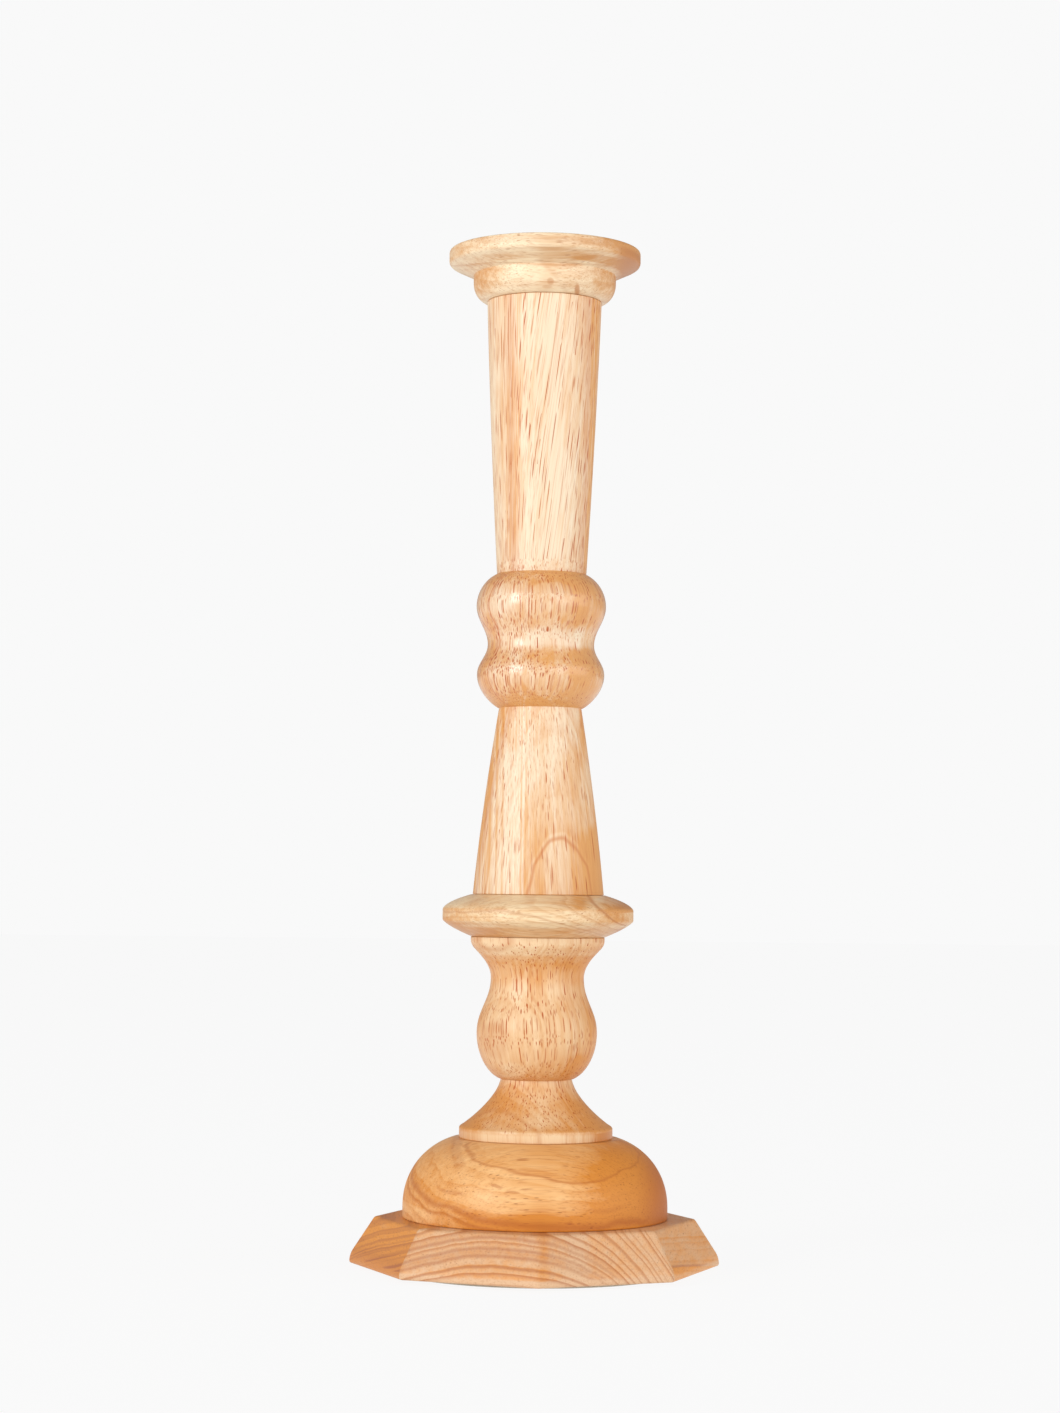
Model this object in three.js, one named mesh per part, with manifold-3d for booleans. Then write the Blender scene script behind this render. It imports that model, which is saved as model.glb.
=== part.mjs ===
// Turned wooden candlestick for one 22 mm dinner candle.
//
// Six pieces of light hardwood are stacked on one axis and joined by glued round tenons: an
// octagonal plinth, a dome, a baluster, a collar disc, a column with a double knop, and a drip
// pan. A brass cup lines the candle socket. Steel screws under the plinth and a felt pad finish
// the base. Nothing on it moves.
//
// Millimetres, +Z up. The origin is the middle of the felt pad's underside, on the table. The
// plinth has a corner on each of the X and Y axes, and -Y is the front.
import * as THREE from "three";
import { mergeVertices } from "three/addons/utils/BufferGeometryUtils.js";
import Module from "manifold-3d";

const wasm = await Module();
wasm.setup();

// ---------- driving dimensions ----------

const turnedSides = 36; // flats round a turned surface
const screwSides = 16; // flats round a screw and its holes
const curveSteps = 5; // chords along each curved stretch of an outline

const fit = 0.3; // clearance round a tenon, a cup or a screw in its hole
const glueLine = 0.05; // film of glue between two faces that meet
const endGap = 1; // room left past the end of a tenon or a screw

const felt = { inset: 8, thickness: 1.5 }; // inset is from the plinth's flats

const plinth = { corner: 61.7, slope: 8.3, height: 15.5, band: 2.8, sides: 8 };

const dome = {
  radius: 44.1,
  height: 26.2,
  wall: 3.5, // upright wall before the crown starts
  crown: { width: 24.9, over: 1.3 }, // how far in it reaches, and where it would close over the top
  fullness: 2.1, // 2 is an ellipse, more is squarer
  edge: 0.6, // eased lower edge
};

const baluster = {
  rim: { radius: 25.6, rise: 3.2 }, // each rise is from the place before it
  shoulder: { radius: 24.3, rise: 1.3 },
  neck: { radius: 11.9, rise: 15 },
  bulb: { radius: 20.12, rise: 15.4 },
  waist: { radius: 15.57, rise: 18.1 },
  lip: { inset: 1.2, rise: 9.9 }, // the flange's lower edge, inset from its radius
  flange: { radius: 22.4, rise: 2.7, band: 1.2 },
  tenon: { radius: 10 },
};

const collar = {
  radius: 31.95,
  face: 22.4, // radius of the flat faces
  lowerBevel: 5.4,
  band: 3.7,
  upperBevel: 4.9,
};

const column = {
  foot: 21.95, // lower taper, on the collar
  throat: 13.85, // lower taper, under the knop
  lowerTaper: 62.4,
  lowerSwell: 0.5, // how far the taper stands out from a straight line
  knop: {
    lowerBead: { radius: 21.42, rise: 11.3 },
    waist: { radius: 17.9, rise: 10.2 },
    upperBead: { radius: 21.8, rise: 12.9 },
    close: 10.8, // from the upper bead's widest place to the shaft
  },
  shaft: 15.05, // upper taper, on the knop
  head: 19.35, // upper taper, under the drip pan
  upperTaper: 92.5,
  upperSwell: 0.27,
  lowerTenon: { radius: 9, reach: 18 }, // reach is the length inside the baluster
  upperTenon: { wall: 3.4, length: 8 }, // wall is what is left round the cup's bore
};

const pan = {
  ovolo: { width: 5.3, height: 6.4 }, // quarter round under the pan
  neck: { radius: 24.1, band: 2.5 }, // the upright band above the ovolo
  underside: 3.9, // rise of the sloping underside
  rim: { radius: 32.4, band: 4.6, edge: 0.8, wall: 2.4 }, // edge is its eased upper edge
  dish: { side: 5.5, depth: 4.5 }, // side is the width of the curved side
};

const cup = {
  bore: 11, // takes a 22 mm candle
  wall: 0.8,
  floor: 1.8,
  flange: { width: 3.4, thickness: 0.8 },
  depth: 22, // from the dish's floor to the cup's underside
};

const cupScrew = { radius: 1.5, length: 16, head: 2.8, headHeight: 1.3, tip: 3 };
const plinthScrew = { radius: 2, length: 30, head: 3.9, headHeight: 2.2, tip: 4.5 };
const baseScrew = { radius: 2.5, length: 45, head: 4.8, headHeight: 3.2, tip: 5 };
const washer = { radius: 7.5, thickness: 1.2 };
const counterbore = { radius: 8.5, depth: 7 };
const plinthScrewCircle = 32; // radius of the circle that the four screws lie on
const plinthScrewCount = 4;
const recess = { width: 0.3, reach: 0.62, depth: 0.6 }; // cross recess, as shares of the head

// ---------- heights of the stack, from the table ----------

/** The heights reached by climbing each rise in turn. */
function heightsOf(...rises) {
  let height = 0;
  return rises.map((rise) => (height += rise));
}

const { rim, shoulder, neck, bulb, waist, lip, flange } = baluster;
const balusterHeights = heightsOf(
  ...[rim, shoulder, neck, bulb, waist, lip, flange].map((place) => place.rise),
  flange.band,
);
const balusterHeight = balusterHeights.at(-1);
const collarHeights = heightsOf(collar.lowerBevel, collar.band, collar.upperBevel);
const collarThickness = collarHeights.at(-1);
const { lowerBead, waist: knopWaist, upperBead, close } = column.knop;
const columnHeights = heightsOf(
  column.lowerTaper,
  lowerBead.rise,
  knopWaist.rise,
  upperBead.rise,
  close,
  column.upperTaper,
);
const columnHeight = columnHeights.at(-1);
const panHeights = heightsOf(pan.ovolo.height, pan.neck.band, pan.underside, pan.rim.band);
const panFloor = panHeights.at(-1) - pan.dish.depth;

const plinthSeat = felt.thickness + glueLine;
const domeSeat = plinthSeat + plinth.height + glueLine;
const balusterSeat = domeSeat + dome.height + glueLine;
const collarSeat = balusterSeat + balusterHeight + glueLine;
const columnSeat = collarSeat + collarThickness + glueLine;
const panSeat = columnSeat + columnHeight + glueLine;
const cupSeat = panSeat + panFloor + glueLine;

// ---------- sizes that follow from the fits ----------

const cupBody = cup.bore + cup.wall;
const cupHole = cupBody + fit;
const upperTenonRadius = cupHole + column.upperTenon.wall;
const upperSocket = { radius: upperTenonRadius + fit, depth: column.upperTenon.length + endGap / 2 };
const cupBoreFloor = cupSeat - cup.depth - fit - columnSeat; // in the column's own height
const lowerTenonLength = column.lowerTenon.reach + collarThickness + 2 * glueLine;
const mortiseDepth = column.lowerTenon.reach + endGap;
const balusterTenonLength = dome.height - endGap;
const cupScrewTop = cup.floor; // height of the screw's face above the cup's underside

// ---------- making solids ----------

/** A solid of revolution about +Z. In the path, x is the radius and y is the height. */
function turned(path, sides = turnedSides) {
  return new THREE.LatheGeometry(path.getPoints(curveSteps), sides).rotateX(Math.PI / 2);
}

/** A path through straight corners, given as [radius, height] pairs. */
function corners(...points) {
  return new THREE.Path(points.map(([radius, height]) => new THREE.Vector2(radius, height)));
}

/** A curve that leaves the first point upright and reaches the second upright. */
function swell(path, radius, height, reach = 0.4) {
  const { x, y } = path.currentPoint;
  const handle = (height - y) * reach;
  path.bezierCurveTo(x, y + handle, radius, height - handle, radius, height);
}

/** The rounded underside of a bead, from its joint out to its widest place. A larger start makes it
 *  flatter beside the joint. */
function roundOut(path, radius, height, start) {
  const { x, y } = path.currentPoint;
  const [width, rise] = [radius - x, height - y];
  path.bezierCurveTo(x + start * width, y + 0.09 * rise, radius, y + 0.5 * rise, radius, height);
}

/** The rounded top of a bead, from its widest place in to its joint. */
function roundIn(path, radius, height) {
  const { x, y } = path.currentPoint;
  const [width, rise] = [x - radius, height - y];
  path.bezierCurveTo(x, y + 0.43 * rise, radius + 0.6 * width, height - 0.17 * rise, radius, height);
}

/** A taper that stands out by its swell half way up. */
function taper(path, radius, height, swellBy) {
  const { x, y } = path.currentPoint;
  path.quadraticCurveTo((x + radius) / 2 + 2 * swellBy, (y + height) / 2, radius, height);
}

/** A geometry as a manifold-3d solid, for cutting. */
function solidOf(geometry) {
  const loose = geometry.index ? geometry.toNonIndexed() : geometry;
  const bare = new THREE.BufferGeometry().setAttribute("position", loose.getAttribute("position"));
  const merged = mergeVertices(bare, 1e-4);
  return new wasm.Manifold(
    new wasm.Mesh({
      numProp: 3,
      vertProperties: merged.attributes.position.array,
      triVerts: new Uint32Array(merged.index.array),
    }),
  );
}

/** The body's geometry with each tool's geometry cut out of it. */
function cut(body, ...tools) {
  const mesh = tools.reduce((left, tool) => left.subtract(solidOf(tool)), solidOf(body)).getMesh();
  return new THREE.BufferGeometry()
    .setAttribute("position", new THREE.BufferAttribute(mesh.vertProperties, 3))
    .setIndex(new THREE.BufferAttribute(mesh.triVerts, 1));
}

/** A plain round hole from one height up to another. */
function hole(radius, from, to, sides = turnedSides) {
  return turned(corners([0, from], [radius, from], [radius, to], [0, to]), sides);
}

/** Moves a copy of a geometry to each of the plinth screws' places. */
function atPlinthScrews(makeGeometry) {
  return Array.from({ length: plinthScrewCount }, (_, index) => {
    const angle = ((index + 0.5) * 2 * Math.PI) / plinthScrewCount;
    const place = [plinthScrewCircle * Math.cos(angle), plinthScrewCircle * Math.sin(angle)];
    return makeGeometry().translate(place[0], place[1], 0);
  });
}

const finishes = {
  panWood: { color: 0xe3b987, roughness: 0.5 },
  columnWood: { color: 0xe8bd8a, roughness: 0.5 },
  collarWood: { color: 0xd9ae7c, roughness: 0.5 },
  balusterWood: { color: 0xe0ae76, roughness: 0.5 },
  domeWood: { color: 0xd99a58, roughness: 0.5 },
  plinthWood: { color: 0xdba877, roughness: 0.55 },
  brass: { color: 0xc9a24f, roughness: 0.35, metalness: 1 },
  zincSteel: { color: 0xb9bcbf, roughness: 0.4, metalness: 1 },
  felt: { color: 0x5a4636, roughness: 0.95 },
};
const materials = Object.fromEntries(
  Object.entries(finishes).map(([name, finish]) => [name, new THREE.MeshStandardMaterial(finish)]),
);

const candlestick = new THREE.Group();

function place(name, geometry, material, height = 0, turn = 0) {
  const mesh = new THREE.Mesh(geometry, material);
  mesh.name = name;
  mesh.position.z = height;
  mesh.rotation.x = turn;
  candlestick.add(mesh);
  return mesh;
}

// ---------- screws ----------

/** A screw's outline, its face at height 0 and its point below. The thread is a plain shank of its
 *  outer radius. A countersunk head narrows to the shank, and a pan head has a flat seat. */
function screwGeometry({ radius, length, head, headHeight, tip }, countersunk) {
  const outline = corners([0, -length], [radius * 0.2, -length], [radius, tip - length]);
  outline.lineTo(radius, -headHeight);
  if (countersunk) {
    outline.lineTo(head, -headHeight * 0.15);
  } else {
    outline.lineTo(head, -headHeight);
    outline.lineTo(head, -headHeight * 0.5);
  }
  outline.lineTo(countersunk ? head : head * 0.6, 0);
  outline.lineTo(0, 0);
  const depth = headHeight * recess.depth;
  const slot = [2 * head * recess.reach, head * recess.width, 2 * depth];
  const across = new THREE.BoxGeometry(slot[0], slot[1], slot[2]);
  const along = new THREE.BoxGeometry(slot[1], slot[0], slot[2]);
  return cut(turned(outline, screwSides), across, along);
}

/** The hole that a screw goes into, as a tool that starts past its face at height 0. */
function screwHole({ radius, length, head, headHeight }, countersunk) {
  const far = -length - endGap;
  const outline = corners([0, far], [radius + fit, far], [radius + fit, -headHeight]);
  if (countersunk) outline.lineTo(head + fit, -headHeight * 0.15 - fit / 2);
  if (countersunk) outline.lineTo(head + fit, endGap);
  else outline.lineTo(radius + fit, endGap);
  outline.lineTo(0, endGap);
  return turned(outline, screwSides);
}

// ---------- the base ----------

function makeFelt() {
  const flats = plinth.corner * Math.cos(Math.PI / plinth.sides);
  place("felt_pad", hole(flats - felt.inset, 0, felt.thickness), materials.felt);
}

const upward = Math.PI; // turns a screw to point up
const baseScrewFace = counterbore.depth - washer.thickness - baseScrew.headHeight - 2 * glueLine;
const plinthScrewFace = fit / 2; // the head lies just inside the underside

function makePlinth() {
  const outline = corners(
    [0, 0],
    [plinth.corner, 0],
    [plinth.corner, plinth.band],
    [plinth.corner - plinth.slope, plinth.height],
    [0, plinth.height],
  );
  const screwHoles = atPlinthScrews(() =>
    screwHole(plinthScrew, true).rotateX(upward).translate(0, 0, plinthScrewFace),
  );
  const through = hole(baseScrew.radius + fit, 0, plinth.height + endGap, screwSides);
  const pocket = hole(counterbore.radius, -endGap, counterbore.depth);
  const body = cut(turned(outline, plinth.sides), through, pocket, ...screwHoles);
  place("plinth", body, materials.plinthWood, plinthSeat);
}

/** The crown of the dome: a superellipse from the wall in to the flat top. */
function crown(path) {
  const { width, over } = dome.crown;
  const steps = 2 * curveSteps;
  const top = dome.height - dome.wall;
  for (let step = 1; step <= steps; step++) {
    const rise = top * Math.sin((step / steps) * (Math.PI / 2));
    const left = 1 - (rise / (top + over)) ** dome.fullness;
    path.lineTo(dome.radius - width + width * left ** (1 / dome.fullness), dome.wall + rise);
  }
}

function makeDome() {
  const bore = baluster.tenon.radius + fit;
  const outline = corners([bore, 0], [dome.radius - dome.edge, 0]);
  outline.quadraticCurveTo(dome.radius, 0, dome.radius, dome.edge);
  outline.lineTo(dome.radius, dome.wall);
  crown(outline);
  outline.lineTo(bore, dome.height);
  outline.lineTo(bore, 0);
  const drop = plinthSeat + plinthScrewFace - domeSeat;
  const pilots = atPlinthScrews(() =>
    screwHole(plinthScrew, true).rotateX(upward).translate(0, 0, drop),
  );
  place("dome", cut(turned(outline), ...pilots), materials.domeWood, domeSeat);
}

function makeBaseFasteners() {
  const face = plinthSeat + baseScrewFace;
  place("base_screw", screwGeometry(baseScrew, false), materials.zincSteel, face, upward);
  const ring = corners(
    [baseScrew.radius + fit, 0],
    [washer.radius, 0],
    [washer.radius, washer.thickness],
    [baseScrew.radius + fit, washer.thickness],
    [baseScrew.radius + fit, 0],
  );
  const washerSeat = plinthSeat + counterbore.depth - washer.thickness - glueLine;
  place("base_washer", turned(ring, screwSides), materials.zincSteel, washerSeat);
  const screws = atPlinthScrews(() => screwGeometry(plinthScrew, true).rotateX(upward));
  screws.forEach((geometry, index) => {
    const name = `plinth_screw_${index + 1}`;
    place(name, geometry, materials.zincSteel, plinthSeat + plinthScrewFace);
  });
}

// ---------- the stem ----------

function makeBaluster() {
  const [rimTop, shoulderAt, neckAt, bulbAt, waistAt, lipAt, edgeAt, top] = balusterHeights;
  const pilot = baseScrew.radius + fit;
  const pilotEnd = plinthSeat + baseScrewFace + baseScrew.length + endGap - balusterSeat;
  const outline = corners(
    [0, pilotEnd],
    [pilot, pilotEnd],
    [pilot, -balusterTenonLength],
    [baluster.tenon.radius, -balusterTenonLength],
    [baluster.tenon.radius, 0],
    [rim.radius, 0],
    [rim.radius, rimTop],
  );
  outline.quadraticCurveTo(rim.radius, (rimTop + shoulderAt) / 2, shoulder.radius, shoulderAt);
  const flare = shoulder.radius - neck.radius;
  outline.bezierCurveTo(
    shoulder.radius - 0.32 * flare,
    shoulderAt + 0.19 * neck.rise,
    neck.radius + 0.08 * flare,
    neckAt - 0.37 * neck.rise,
    neck.radius,
    neckAt,
  );
  roundOut(outline, bulb.radius, bulbAt, 0.52);
  swell(outline, waist.radius, waistAt);
  const lipRadius = flange.radius - lip.inset;
  const sweep = lipRadius - waist.radius;
  outline.bezierCurveTo(
    waist.radius,
    waistAt + 0.45 * lip.rise,
    waist.radius + 0.58 * sweep,
    waistAt + 0.74 * lip.rise,
    lipRadius,
    lipAt,
  );
  outline.quadraticCurveTo(flange.radius, (lipAt + edgeAt) / 2, flange.radius, edgeAt);
  outline.lineTo(flange.radius, top);
  const mortise = column.lowerTenon.radius + fit;
  outline.lineTo(mortise, top);
  outline.lineTo(mortise, top - mortiseDepth);
  outline.lineTo(0, top - mortiseDepth);
  place("baluster", turned(outline), materials.balusterWood, balusterSeat);
}

function makeCollar() {
  const { radius, face } = collar;
  const [bandBase, bandTop, top] = collarHeights;
  const bore = column.lowerTenon.radius + fit;
  const slope = radius - face;
  const outline = corners([bore, 0], [face, 0]);
  outline.quadraticCurveTo(radius - 0.21 * slope, 0.575 * bandBase, radius, bandBase);
  outline.lineTo(radius, bandTop);
  outline.quadraticCurveTo(radius - 0.12 * slope, (bandTop + top) / 2, face, top);
  outline.lineTo(bore, top);
  outline.lineTo(bore, 0);
  place("collar", turned(outline), materials.collarWood, collarSeat);
}

function makeColumn() {
  const [knopBase, lowerBeadAt, waistAt, upperBeadAt, shaftBase, top] = columnHeights;
  const { lowerTenon, upperTenon } = column;
  const screwEnd = cupSeat - cup.depth + cupScrewTop - cupScrew.length - endGap - columnSeat;
  const pilot = cupScrew.radius + fit;
  const outline = corners(
    [0, -lowerTenonLength],
    [lowerTenon.radius, -lowerTenonLength],
    [lowerTenon.radius, 0],
    [column.foot, 0],
  );
  taper(outline, column.throat, knopBase, column.lowerSwell);
  roundOut(outline, lowerBead.radius, lowerBeadAt, 0.32);
  swell(outline, knopWaist.radius, waistAt);
  swell(outline, upperBead.radius, upperBeadAt, 0.37);
  roundIn(outline, column.shaft, shaftBase);
  taper(outline, column.head, top, column.upperSwell);
  outline.lineTo(upperTenonRadius, top);
  outline.lineTo(upperTenonRadius, top + upperTenon.length);
  outline.lineTo(cupHole, top + upperTenon.length);
  outline.lineTo(cupHole, cupBoreFloor);
  outline.lineTo(pilot, cupBoreFloor);
  outline.lineTo(pilot, screwEnd);
  outline.lineTo(0, screwEnd);
  place("column", turned(outline), materials.columnWood, columnSeat);
}

// ---------- the top ----------

function makePan() {
  const { ovolo, dish } = pan;
  const { radius, edge, wall } = pan.rim;
  const [ovoloTop, neckTop, rimBase, top] = panHeights;
  const inner = radius - wall;
  const start = pan.neck.radius - ovolo.width;
  const outline = corners([upperSocket.radius, 0], [start, 0]);
  outline.absellipse(start, ovoloTop, ovolo.width, ovolo.height, -Math.PI / 2, 0);
  outline.lineTo(pan.neck.radius, neckTop);
  outline.lineTo(radius, rimBase);
  outline.lineTo(radius, top - edge);
  outline.lineTo(radius - edge, top);
  outline.lineTo(inner, top);
  outline.quadraticCurveTo(inner - 0.55 * dish.side, panFloor, inner - dish.side, panFloor);
  outline.lineTo(cupHole, panFloor);
  outline.lineTo(cupHole, upperSocket.depth);
  outline.lineTo(upperSocket.radius, upperSocket.depth);
  outline.lineTo(upperSocket.radius, 0);
  place("drip_pan", turned(outline), materials.panWood, panSeat);
}

function makeCup() {
  const { bore, floor, flange, depth } = cup;
  const outline = corners(
    [0, -depth],
    [cupBody, -depth],
    [cupBody, 0],
    [cupBody + flange.width, 0],
    [cupBody + flange.width, flange.thickness],
    [bore, flange.thickness],
    [bore, floor - depth],
    [0, floor - depth],
  );
  const screwFace = cupScrewTop - depth - fit / 2;
  const countersink = screwHole(cupScrew, true).translate(0, 0, screwFace);
  place("candle_cup", cut(turned(outline), countersink), materials.brass, cupSeat);
  place("cup_screw", screwGeometry(cupScrew, true), materials.brass, cupSeat + screwFace);
}

makeFelt();
makePlinth();
makeDome();
makeBaseFasteners();
makeBaluster();
makeCollar();
makeColumn();
makePan();
makeCup();

export default candlestick;
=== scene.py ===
import math

import bmesh
import bpy
from mathutils import Matrix, Vector


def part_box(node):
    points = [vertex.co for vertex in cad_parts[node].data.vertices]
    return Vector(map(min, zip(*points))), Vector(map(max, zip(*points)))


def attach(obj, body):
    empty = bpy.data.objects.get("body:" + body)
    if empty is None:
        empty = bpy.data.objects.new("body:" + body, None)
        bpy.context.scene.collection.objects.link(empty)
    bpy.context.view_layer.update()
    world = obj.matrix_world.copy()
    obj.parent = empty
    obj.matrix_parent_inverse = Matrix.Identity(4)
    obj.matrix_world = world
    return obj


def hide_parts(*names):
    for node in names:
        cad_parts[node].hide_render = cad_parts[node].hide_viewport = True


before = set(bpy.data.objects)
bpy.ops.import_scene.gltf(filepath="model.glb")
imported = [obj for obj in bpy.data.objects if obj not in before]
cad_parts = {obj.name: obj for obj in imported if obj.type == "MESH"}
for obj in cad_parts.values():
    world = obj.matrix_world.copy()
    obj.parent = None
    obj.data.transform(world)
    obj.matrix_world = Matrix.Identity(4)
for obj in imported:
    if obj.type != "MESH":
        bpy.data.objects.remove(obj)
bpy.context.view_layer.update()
mm = 0.001
print("frame loaded:", len(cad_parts), "nodes")


# outlines of turned pieces are lists of (radius, height) in millimetres

# a curve from the last point to the end, drawn towards its handles
def curveTo(outline, handles, end, steps):
    corners = (outline[-1], *handles, end)
    degree = len(corners) - 1
    for step in range(1, steps + 1):
        t = step / steps
        weights = [math.comb(degree, k) * t ** k * (1 - t) ** (degree - k) for k in range(degree + 1)]
        outline.append(tuple(sum(w * c[axis] for w, c in zip(weights, corners)) for axis in (0, 1)))


def bezierTo(outline, handleA, handleB, end, steps=16):
    curveTo(outline, (handleA, handleB), end, steps)


def bendTo(outline, handle, end, steps=12):
    curveTo(outline, (handle,), end, steps)


# leaves the last point upright and reaches the next upright
def swellTo(outline, radius, height, reach=0.4, steps=18):
    startRadius, startHeight = outline[-1]
    handle = (height - startHeight) * reach
    bezierTo(outline, (startRadius, startHeight + handle), (radius, height - handle), (radius, height),
            steps)


# the underside of a bead, from its joint out to its widest place
def roundOutTo(outline, radius, height, start, steps=18):
    startRadius, startHeight = outline[-1]
    width = radius - startRadius
    rise = height - startHeight
    handleA = (startRadius + start * width, startHeight + 0.09 * rise)
    handleB = (radius, startHeight + 0.5 * rise)
    bezierTo(outline, handleA, handleB, (radius, height), steps)


# the top of a bead, from its widest place in to its joint
def roundInTo(outline, radius, height, steps=18):
    startRadius, startHeight = outline[-1]
    width = startRadius - radius
    rise = height - startHeight
    handleA = (startRadius, startHeight + 0.43 * rise)
    handleB = (radius + 0.6 * width, height - 0.17 * rise)
    bezierTo(outline, handleA, handleB, (radius, height), steps)


# a taper that stands out from a straight line by its swell half way up
def taperTo(outline, radius, height, swell, steps=14):
    startRadius, startHeight = outline[-1]
    handle = ((startRadius + radius) / 2 + 2 * swell, (startHeight + height) / 2)
    bendTo(outline, handle, (radius, height), steps)


def pointAt(points, lengths, distance):
    for index in range(1, len(points)):
        if lengths[index] >= distance:
            break
    span = lengths[index] - lengths[index - 1]
    share = (distance - lengths[index - 1]) / span if span else 0
    return tuple(a + (b - a) * share for a, b in zip(points[index - 1], points[index]))


# sharp corners become small curves: outer ones by the ease, inner ones by much less
def eased(points, ease, innerEase=0.12, sharpness=24, steps=5, own=None):
    lengths = [0]
    for near, far in zip(points, points[1:]):
        lengths.append(lengths[-1] + math.dist(near, far))
    corners = {}
    for index in range(1, len(points) - 1):
        before = Vector(points[index]) - Vector(points[index - 1])
        after = Vector(points[index + 1]) - Vector(points[index])
        turn = math.degrees(math.atan2(before.x * after.y - before.y * after.x, before.dot(after)))
        if abs(turn) > sharpness:
            size = ease if turn > 0 else innerEase
            corners[index] = own.get(points[index], size) if own else size
    stops = sorted([0, lengths[-1]] + [lengths[index] for index in corners])
    cuts = {}
    for index, size in corners.items():
        middle = lengths[index]
        room = min(abs(middle - stop) for stop in stops if stop != middle)
        size = min(size, 0.45 * room)
        cuts[index] = (middle - size, middle + size)
    result = []
    for index, point in enumerate(points):
        if index in cuts:
            entry, leave = cuts[index]
            margin = 0.2 * (leave - entry)
            if entry - margin > 0:
                result.append(pointAt(points, lengths, entry - margin))
            result.append(pointAt(points, lengths, entry))
            bendTo(result, point, pointAt(points, lengths, leave), steps)
            result.append(pointAt(points, lengths, leave + margin))
        elif not any(low - 0.3 * (high - low) <= lengths[index] <= high + 0.3 * (high - low)
                     for low, high in cuts.values()):
            result.append(point)
    return result


# the values that a dictionary has under several names
def named(values, names):
    return (values[name] for name in names.split())


def meshPiece(name, points, faces):
    mesh = bpy.data.meshes.new(name)
    mesh.from_pydata(points, [], faces)
    mesh.update()
    mesh.shade_smooth()
    piece = bpy.data.objects.new(name, mesh)
    bpy.context.scene.collection.objects.link(piece)
    return piece


def polar(radius, angle, height):
    return (radius * math.cos(angle), radius * math.sin(angle), height)


# faces from each ring of points to the next; a ring may be one point on the axis
def facesBetween(rings):
    faces = []
    for lower, upper in zip(rings, rings[1:]):
        count = max(len(lower), len(upper))
        for side in range(count if count > 1 else 0):
            following = (side + 1) % count
            if len(lower) == 1:
                faces.append((lower[0], upper[following], upper[side]))
            elif len(upper) == 1:
                faces.append((lower[side], lower[following], upper[0]))
            else:
                faces.append((lower[side], lower[following], upper[following], upper[side]))
    return faces


# revolves an outline that starts and ends on the axis, or closes on itself
def turnedPiece(name, outline, seat, sides=192):
    closed = outline[0] == outline[-1]
    points = []
    rings = []
    for radius, height in outline[:-1] if closed else outline:
        count = sides if radius > 1e-6 else 1
        rings.append(range(len(points), len(points) + count))
        points += [polar(radius * mm, 2 * math.pi * side / count, seat + height * mm)
                for side in range(count)]
    if closed:
        rings.append(rings[0])
    return meshPiece(name, points, facesBetween(rings))


def dress(piece, node, material):
    piece.data.materials.clear()
    piece.data.materials.append(material)
    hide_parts(node)
    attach(piece, "root")


# building blocks of the materials: a node goes into the tree that its inputs come from

def isSocket(value):
    return isinstance(value, bpy.types.NodeSocket)


def treeOf(values):
    return next(value.id_data for value in values if isSocket(value))


def connect(node, inputs):
    for socket, value in inputs.items():
        if isSocket(value):
            node.id_data.links.new(value, node.inputs[socket])
        else:
            node.inputs[socket].default_value = value
    return node


def addNode(kind, inputs, tree=None, **settings):
    node = (tree or treeOf(inputs.values())).nodes.new(kind)
    for setting, value in settings.items():
        setattr(node, setting, value)
    return connect(node, inputs)


def calculate(operation, *values):
    return addNode("ShaderNodeMath", dict(enumerate(values)), operation=operation).outputs[0]


def folded(operation, values):
    whole = values[0]
    for value in values[1:]:
        whole = calculate(operation, whole, value)
    return whole


# plain numbers need no node
def times(*values):
    return folded("MULTIPLY", values) if any(map(isSocket, values)) else math.prod(values)


def total(*values):
    return folded("ADD", values) if any(map(isSocket, values)) else sum(values)


def either(*masks):
    return folded("MAXIMUM", masks)


def less(first, second):
    return calculate("SUBTRACT", first, second)


def over(first, second):
    return calculate("DIVIDE", first, second)


# the first two multiplied, plus the third
def timesPlus(first, second, third):
    return calculate("MULTIPLY_ADD", first, second, third)


def vectors(operation, *values):
    return addNode("ShaderNodeVectorMath", dict(enumerate(values)), operation=operation).outputs[0]


def vectorOf(x, y=0.0, z=0.0):
    return addNode("ShaderNodeCombineXYZ", {"X": x, "Y": y, "Z": z}).outputs[0]


def remap(value, low, high, newLow=0.0, newHigh=1.0, kind="SMOOTHSTEP"):
    inputs = {"Value": value, "From Min": low, "From Max": high, "To Min": newLow, "To Max": newHigh}
    return addNode("ShaderNodeMapRange", inputs, interpolation_type=kind).outputs[0]


def noise(place, scale, detail, roughness=0.5, output="Fac", distortion=0.0):
    inputs = {"Vector": place, "Scale": scale, "Detail": detail, "Roughness": roughness,
            "Distortion": distortion}
    return addNode("ShaderNodeTexNoise", inputs).outputs[output]


def noiseAlong(value, scale, detail):
    inputs = {"W": value, "Scale": scale, "Detail": detail}
    return addNode("ShaderNodeTexNoise", inputs, noise_dimensions="1D").outputs["Fac"]


def mixColour(amount, first, second):
    inputs = {0: amount, 6: first, 7: second}
    return addNode("ShaderNodeMix", inputs, data_type="RGBA").outputs[2]


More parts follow.
